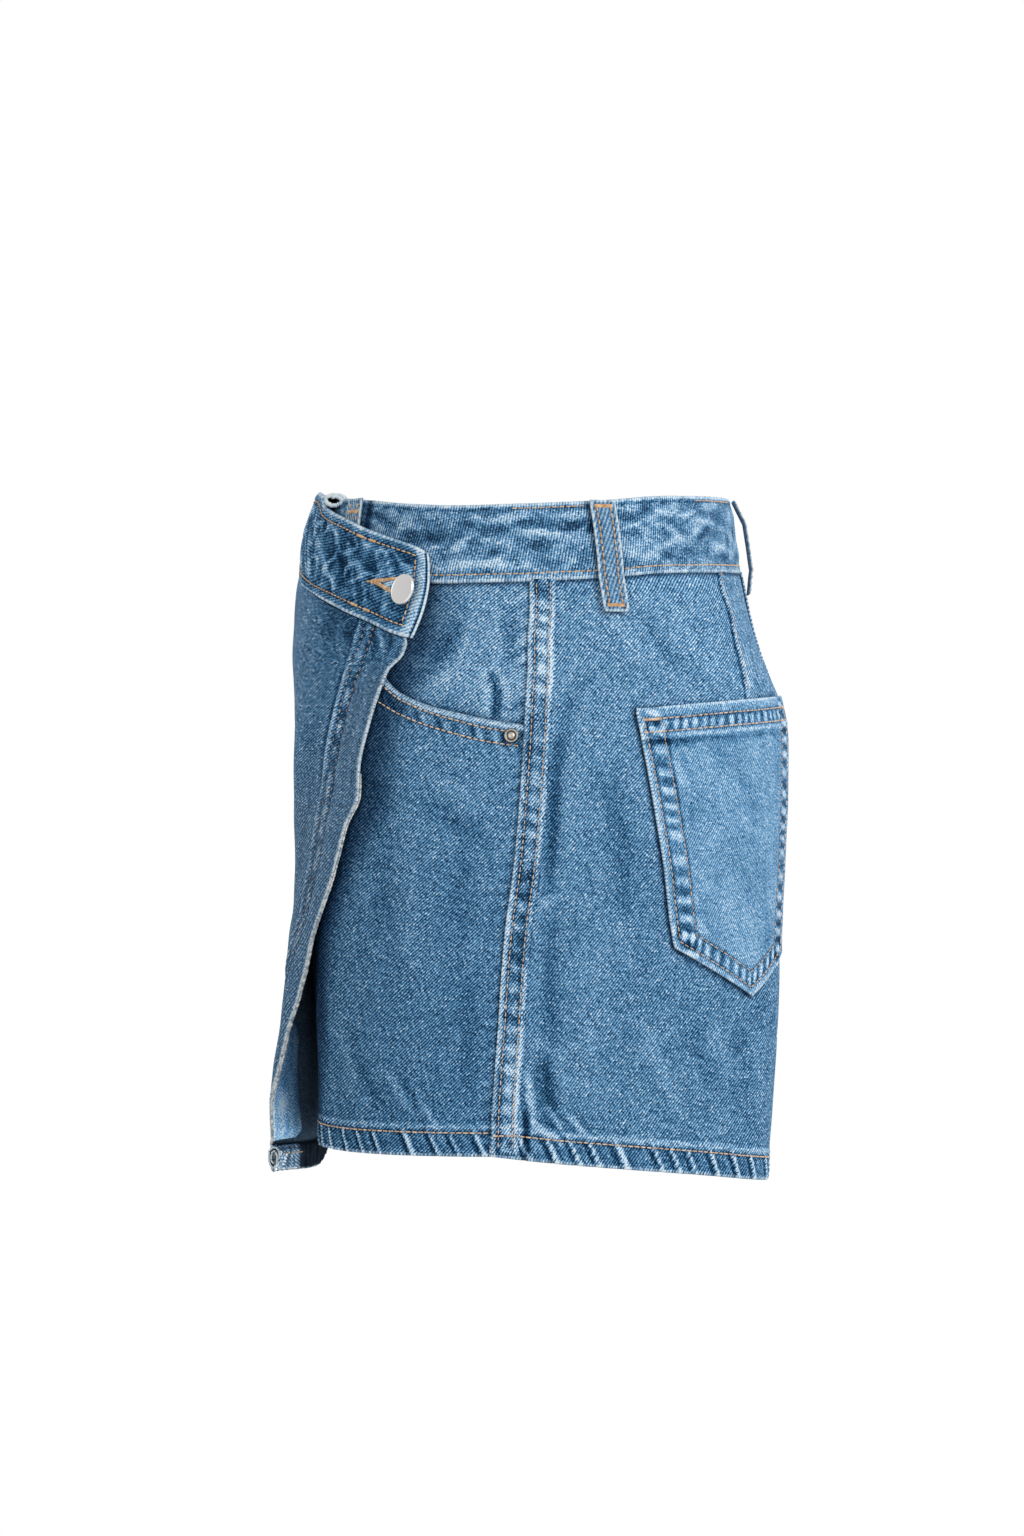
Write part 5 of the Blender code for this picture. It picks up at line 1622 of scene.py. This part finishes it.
def turned(name, slot, finish, profile, radius, height, base, normal, tarnished):
    """A round piece turned about its normal from shares of its radius and height.

    Tarnished lists the profile's dull points."""
    normal = np.array(normal) / np.linalg.norm(normal)
    first = np.cross(normal, (0.0, 0.0, 1.0))
    first /= np.linalg.norm(first)
    second = np.cross(normal, first)
    angles = np.arange(TURNED_SIDES) * 2 * math.pi / TURNED_SIDES
    around = np.cos(angles)[:, None] * first + np.sin(angles)[:, None] * second
    rings = [np.array(base) + height * h * normal + max(radius * r, 1e-5) * around for r, h in profile]
    faces = []
    for low in range(0, (len(profile) - 1) * TURNED_SIDES, TURNED_SIDES):
        for i in range(TURNED_SIDES):
            j = (i + 1) % TURNED_SIDES
            faces.append((low + i, low + j, low + TURNED_SIDES + j, low + TURNED_SIDES + i))
    mesh = build(name, np.concatenate(rings).tolist(), faces, finish)
    dull = np.repeat([float(i in tarnished) for i in range(len(profile))], TURNED_SIDES)
    mesh.attributes.new("tarnish", "FLOAT", "POINT").data.foreach_set("value", dull.astype(np.float32))
    mesh.shade_smooth()
    mesh.set_sharp_from_angle(angle=SHARP_ANGLE)
    made = add(name, mesh)
    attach(made, "root")
    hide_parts(name)


NICKEL = nickel("nickel", 0.36, (0.98, 0.96, 0.94))
NICKEL_WORN = nickel("nickel_worn", 0.34, (0.54, 0.51, 0.46))
tack, tack_normal = tab_at(np.array(BUTTON_ALONG), np.array(BUTTON_DROP))
turned("button", "nickel", NICKEL, BUTTON_PROFILE, BUTTON_RADIUS, BUTTON_HEIGHT,
       tack + tack_normal * BUTTON_STAND, BUTTON_NORMAL, (1, 2, 3, 4))
rivet, rivet_normal = body_at(RIVET_Z, RIVET_FROM_SEAM, FRONT)
turned("pocket_rivet", "nickel_worn", NICKEL_WORN, RIVET_PROFILE, RIVET_RADIUS, RIVET_HEIGHT,
       rivet + rivet_normal * RIVET_STAND, rivet_normal, (0, 1, 2, 3, 5, 6, 7))
print("button %.1f mm across, rivet %.1f mm" % (2000 * BUTTON_RADIUS, 2000 * RIVET_RADIUS))

# %% [markdown]
# ## Stitches
# Jeans are sewn with thick tan thread, in even stitches that sink into the cloth at
# both ends. Each stitch could be drawn by the material, but real thread stands proud and
# catches light, so each is a small bent capsule, placed along its row by arc length.
# All the stitches of one part of the garment are joined in one mesh.

# %% Threads, and the rows they sew
THREAD_RADIUS = 0.0004
STITCH_LENGTH = 0.0029
STITCH_STEP = 0.0035
STITCH_PROFILE = (
    (-0.5, 0.05, -0.9), (-0.42, 0.8, -0.2), (-0.2, 1.00, 0.5),
    (0.2, 1.00, 0.5), (0.42, 0.8, -0.2), (0.5, 0.05, -0.9),
)
THREAD_SIDES = 6


def thread_paint(name, colour, dark):
    paint = Paint(name, roughness=0.65, specular=0.3)
    where = paint.node("ShaderNodeTexCoord", {}, {}, output=3)
    mottled = paint.between(paint.noise(where, 420.0, 2.0), 0.35, 0.65)
    twist = paint.noise(where, 2600.0, 1.0)
    colours = paint.mix(mottled, (*dark, 1.0), (*colour, 1.0))
    return paint.finish(Base_Color=colours, Normal=paint.bump(twist, 0.0001, 0.5))


TAN_THREAD = thread_paint("tan_thread", (0.8, 0.53, 0.3), (0.52, 0.3, 0.15))
FINE_THREAD = thread_paint("fine_thread", (0.8, 0.58, 0.41), (0.45, 0.32, 0.23))
LOOSE_THREAD = thread_paint("loose_thread", (0.74, 0.74, 0.7), (0.22, 0.27, 0.32))
PALE_THREAD = thread_paint("pale_thread", (0.62, 0.45, 0.33), (0.22, 0.19, 0.19))
# The wrap's lower rows are sewn in a darker copy of the thread.
DARK_THREAD = thread_paint("dark_thread", (0.4, 0.32, 0.28), (0.11, 0.13, 0.17))


def unit(vectors, shortest=0.0):
    return vectors / np.maximum(np.linalg.norm(vectors, axis=1, keepdims=True), shortest)


class Thread:
    """All the stitches of one part of the garment, as rows of bent capsules."""

    def __init__(self, name, finish):
        self.name, self.finish, self.rows = name, finish, []

    def sew(self, surface, u, v, radius=THREAD_RADIUS, step=STITCH_STEP, length=STITCH_LENGTH, cross=False):
        """Sews a row through places (u, v) of a lifted surface; a tack's stitches cross it."""
        u, v = np.broadcast_arrays(u, v)
        given = np.arange(len(u))
        dense = np.linspace(0, given[-1], 60 * len(u))
        points, normals = surface(np.interp(dense, given, u), np.interp(dense, given, v))
        run = np.concatenate([[0], np.cumsum(np.linalg.norm(np.diff(points, axis=0), axis=1))])
        places = np.arange(step / 2, run[-1], step)

        def read(field):
            return np.stack([np.interp(places, run, column) for column in field.T], 1)

        centre, up = read(points), unit(read(normals))
        forward = read(unit(np.gradient(points, axis=0), 1e-12))
        forward = unit(forward - (forward * up).sum(1, keepdims=True) * up)
        sideways = np.cross(up, forward)
        if cross:
            forward, sideways = sideways, -forward
        rings = []
        for place, thick, height in STITCH_PROFILE:
            middle = centre + forward * place * length + up * height * radius
            for angle in np.arange(THREAD_SIDES) * 2 * math.pi / THREAD_SIDES:
                out = sideways * math.cos(angle) + up * math.sin(angle)
                rings.append(middle + out * radius * thick)
        self.rows.append(np.stack(rings, 1))

    def join(self):
        """Joins the rows in one mesh."""
        vertices = np.concatenate(self.rows)
        count, per_stitch = vertices.shape[:2]
        side = np.arange(THREAD_SIDES)
        after = (side + 1) % THREAD_SIDES
        tube = np.stack([side, after, after + THREAD_SIDES, side + THREAD_SIDES], 1)
        one = np.concatenate([tube + k * THREAD_SIDES for k in range(len(STITCH_PROFILE) - 1)])
        ends = np.stack([side[::-1], per_stitch - THREAD_SIDES + side])
        starts = np.arange(count)[:, None, None] * per_stitch
        faces, caps = (starts + one).reshape(-1, 4), (starts + ends).reshape(-1, THREAD_SIDES)
        faces = faces.tolist() + caps.tolist()
        mesh = build(self.name, vertices.reshape(-1, 3).tolist(), faces, self.finish)
        mesh.shade_smooth()
        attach(add(self.name, mesh), "root")
        print("%-24s %5d stitches" % (self.name, count))


# %% Surfaces to sew on
def on_panel(way, side, extra=None):
    def surface(run, z):
        lift = panel_lift(way, z, run, hem_line(way, run / QUARTERS[way].length(z)))
        if extra:
            lift, _ = extra(z, run, lift, dict(PLAIN_MARKS))
        return raised(body_at(z, run, way, side), lift)
    return surface


def on_welt(side):
    return lambda run, z: raised(body_at(z, run, BACK, side), welt_lift(z, run - STRIP_START))


def on_patch(side):
    return lambda run, z: raised(body_at(z, run, BACK, side), patch_lift(run, z))


def on_band(along, down):
    return raised(band_at(along, down), band_lift(along, down))


def on_tab(along, down):
    return raised(tab_at(along, down), tab_lift(along, down))


def on_loop(name):
    return lambda across, down: raised(*loop_at(name, across, down))


def on_wrap(inside, z):
    length = WRAP_FORM.length(z)
    return raised(WRAP_FORM.read(z, length - inside), wrap_lift(z, inside, wrap_hem(1 - inside / length)))


def inside_wrap(inside, z):
    points, normals = on_wrap(inside, z)
    return raised((points, normals), -(HEM_CLOTH + 0.003 * bell(inside, CORNER_WIDTH)))[0], -normals


def on_free_edge(across, z):
    """The wrap's free edge itself, looking out along the cloth."""
    length = WRAP_FORM.length(z)
    out = unit(WRAP_FORM.read(z, length)[0] - WRAP_FORM.read(z, length - 0.001)[0])
    points, _ = raised(on_wrap(0 * z, z), -(CLOTH * 0.8 + across))
    return points + out * 0.0003, out


# %% Rows on the shorts
HEM_STITCH = {"step": 0.0034, "length": 0.0031}
DART_STITCHES = [(0.1222, -0.043), (0.1232, -0.05), (0.1312, -0.066), (0.1312, -0.086), (0.1292, -0.108)]
DART_ROW_OFF = 0.0022
shorts = Thread("thread_shorts", FINE_THREAD)
for side in (LEFT, RIGHT):
    for way, start in ((FRONT, 0.004), (BACK, 0.036)):
        share = np.linspace(start, 0.985, 40)
        z = hem_line(way, share) + HEM_ROW
        shorts.sew(on_panel(way, side), share * QUARTERS[way].length(z), z, **HEM_STITCH)
    shorts.sew(on_welt(side), np.linspace(0.0004, 0.0136, 8), hem_line(BACK, 0.03) + HEM_ROW, **HEM_STITCH)
    for run in SEAM_ROWS:
        shorts.sew(on_welt(side), run, np.linspace(-0.052, -0.3395, 24), 0.0003)
    run, z = np.array(DART_STITCHES).T
    shorts.sew(on_panel(BACK, side, dart), run + DART_ROW_OFF, z, 0.00028)
for row in MOUTH_ROWS:
    run = np.linspace(0.002, 0.082, 30)
    z = POCKET_MOUTH.read("z", run) - mouth_row(row, run) * mouth_slant(run)
    shorts.sew(on_panel(FRONT, LEFT, pocket_mouth), run, z)
shorts.join()


# %% Rows on the back pockets
def inset_path(inset, foot_inset, mouth_inset):
    """The pocket's sides and foot, moved in; it starts and ends below the mouth."""
    order = PATCH_CORNERS[[0, 4, 3, 2, 1]]
    lines = []
    for a, b, inset in zip(order, order[1:], (inset, foot_inset, foot_inset, inset)):
        out = np.array([b[1] - a[1], a[0] - b[0]])
        out /= np.linalg.norm(out)
        out = -out if out @ (a - order.mean(0)) < 0 else out
        lines.append((a - out * inset, b - out * inset))
    below = np.array([0, -mouth_inset])
    path = [lines[0][0] + below]
    for (a0, a1), (b0, b1) in zip(lines, lines[1:]):
        path.append(a0 + (a1 - a0) * (np.cross(b0 - a0, b1 - b0) / np.cross(a1 - a0, b1 - b0)))
    path.append(lines[-1][1] + below)
    steps = [np.linspace(a, b, 12, endpoint=False) for a, b in zip(path, path[1:])]
    return np.concatenate(steps + [[path[-1]]]).T


PATCH_MOUTH = ((0.057, 0.1155, 0.174), (-0.118, -0.1135, -0.11))
MOUTH_STITCHES = [(0.0605, 0.1715, 20, row, {}) for row in PATCH_MOUTH_ROWS]
POCKET_TACK = {"radius": 0.00034, "step": 0.0006, "length": 0.0019, "cross": True}
MOUTH_STITCHES += [(0.0615, 0.07, 6, PATCH_MOUTH_ROWS[0], POCKET_TACK)]
MOUTH_STITCHES += [(0.166, 0.172, 6, PATCH_MOUTH_ROWS[0], POCKET_TACK)]
pockets = Thread("thread_pockets", FINE_THREAD)
for side in (LEFT, RIGHT):
    pockets.sew(on_patch(side), *inset_path(PATCH_OUTER, PATCH_OUTER, 0.004), 0.00032)
    pockets.sew(on_patch(side), *inset_path(PATCH_INNER, PATCH_FOOT_INNER, 0.006), 0.00028)
    for start, end, steps, inset, kind in MOUTH_STITCHES:
        run = np.linspace(start, end, steps)
        z = np.interp(run, *PATCH_MOUTH) - inset
        pockets.sew(on_patch(side), run, z, **kind)
pockets.join()

# %% Rows on the waistband, the tab and the belt loops
SHOWN_TOP_STITCHES = ((0.186, 0.226), (0.298, 0.35), (0.47, 0.52), (0.61, 0.64))
KNOTS = ((-0.0045, 0.0026), (0.005, 0.0018))
LOOP_TACK = {"radius": 0.00034, "step": 0.0006, "length": 0.0022, "cross": True}

bands = Thread("thread_bands", TAN_THREAD)
along = np.linspace(0.0, band_round + LAP_END - 0.004, 160)
bands.sew(on_band, along, 1 - BAND_ROW_IN / BAND_HEIGHT, 0.0004)
for start, end in SHOWN_TOP_STITCHES:
    bands.sew(on_band, np.linspace(start, end, 160), BAND_TOP_ROW_IN / BAND_HEIGHT, 0.00034)
along = np.linspace(tab_start + 0.006, TAB_END - 0.0075, 120)
top_row, foot_row = TAB_ROW_IN / tab_height(along), 1 - TAB_ROW_IN / tab_height(along)
bands.sew(on_tab, along, top_row, 0.00039)
bands.sew(on_tab, along, foot_row, 0.00039)
bands.sew(on_tab, TAB_END - TAB_END_ROW_IN, np.linspace(0.13, 0.88, 12), 0.00039)
for row, place in ((top_row, 0.108), (foot_row, 0.114)):
    for off, reach in KNOTS:
        steps = np.linspace(place + off - reach, place + off + reach, 9)
        bands.sew(on_tab, steps, np.interp(steps, along, row), 0.00072, 0.0014, 0.0022)
bands.join()

loops = Thread("thread_loops", TAN_THREAD)
for name in BELT_LOOPS:
    for across in (-0.29, 0.29):
        loops.sew(on_loop(name), across, np.linspace(0.04, 0.96, 10))
    for down in (0.135 if name == "belt_loop_front_left" else 0.045, 0.955):
        loops.sew(on_loop(name), np.linspace(-0.38, 0.38, 6), down, **LOOP_TACK)
loops.join()

# %% Rows on the wrap
LOOSE_ENDS = ((-0.15, -0.23, 0.00042, 81), (-0.225, -0.343, 0.00062, 82))

loose = Thread("loose_threads_wrap_edge", LOOSE_THREAD)
for top, foot, radius, seed in LOOSE_ENDS:
    z = np.linspace(top, foot, 400)
    wander = np.random.default_rng(seed).uniform(-1, 1, len(z)) * radius * 0.5
    loose.sew(on_free_edge, wander, z, radius, 2.1 * radius, 2.6 * radius)
loose.join()
upper, lower = Thread("thread_wrap_edge_upper", PALE_THREAD), Thread("thread_wrap_edge_lower", DARK_THREAD)
for name in ("first", "second"):
    for top, foot, rows in ((-0.0735, -0.118, upper), (-0.1195, -0.245, lower)):
        z = np.linspace(top, foot, 60)
        rows.sew(on_wrap, WRAP.read("edge_run", z) - WRAP_ROWS.read(name, z), z, 0.0003, 0.0037, 0.0021)
upper.join()
lower.join()
hem_thread = Thread("thread_wrap_hem", TAN_THREAD)
inside = np.linspace(0.004, 0.44, 80)
z = wrap_hem(1 - inside / float(WRAP_FORM.length(-0.35))) + HEM_ROW
hem_thread.sew(on_wrap, inside, z)
hem_thread.sew(inside_wrap, inside[1:6], z[1:6] - 0.0026, 0.00034)
hem_thread.join()

# %% The buttonhole
KNOT = (0.118, 0.564)
BRANCHES = (
    ((0.1165, 0.58), (0.1195, 0.548), 0.003), ((0.114, 0.592), KNOT, 0.0012),
    (KNOT, (0.1315, 0.44), 0.0021), (KNOT, (0.13, 0.615), 0.0023),
)
buttonhole = Thread("thread_buttonhole", TAN_THREAD)
for start, end, wide in BRANCHES:
    along, down = np.linspace(start, end, 10).T
    buttonhole.sew(on_tab, along, down, 0.00052, 0.00095, wide, cross=True)
buttonhole.join()
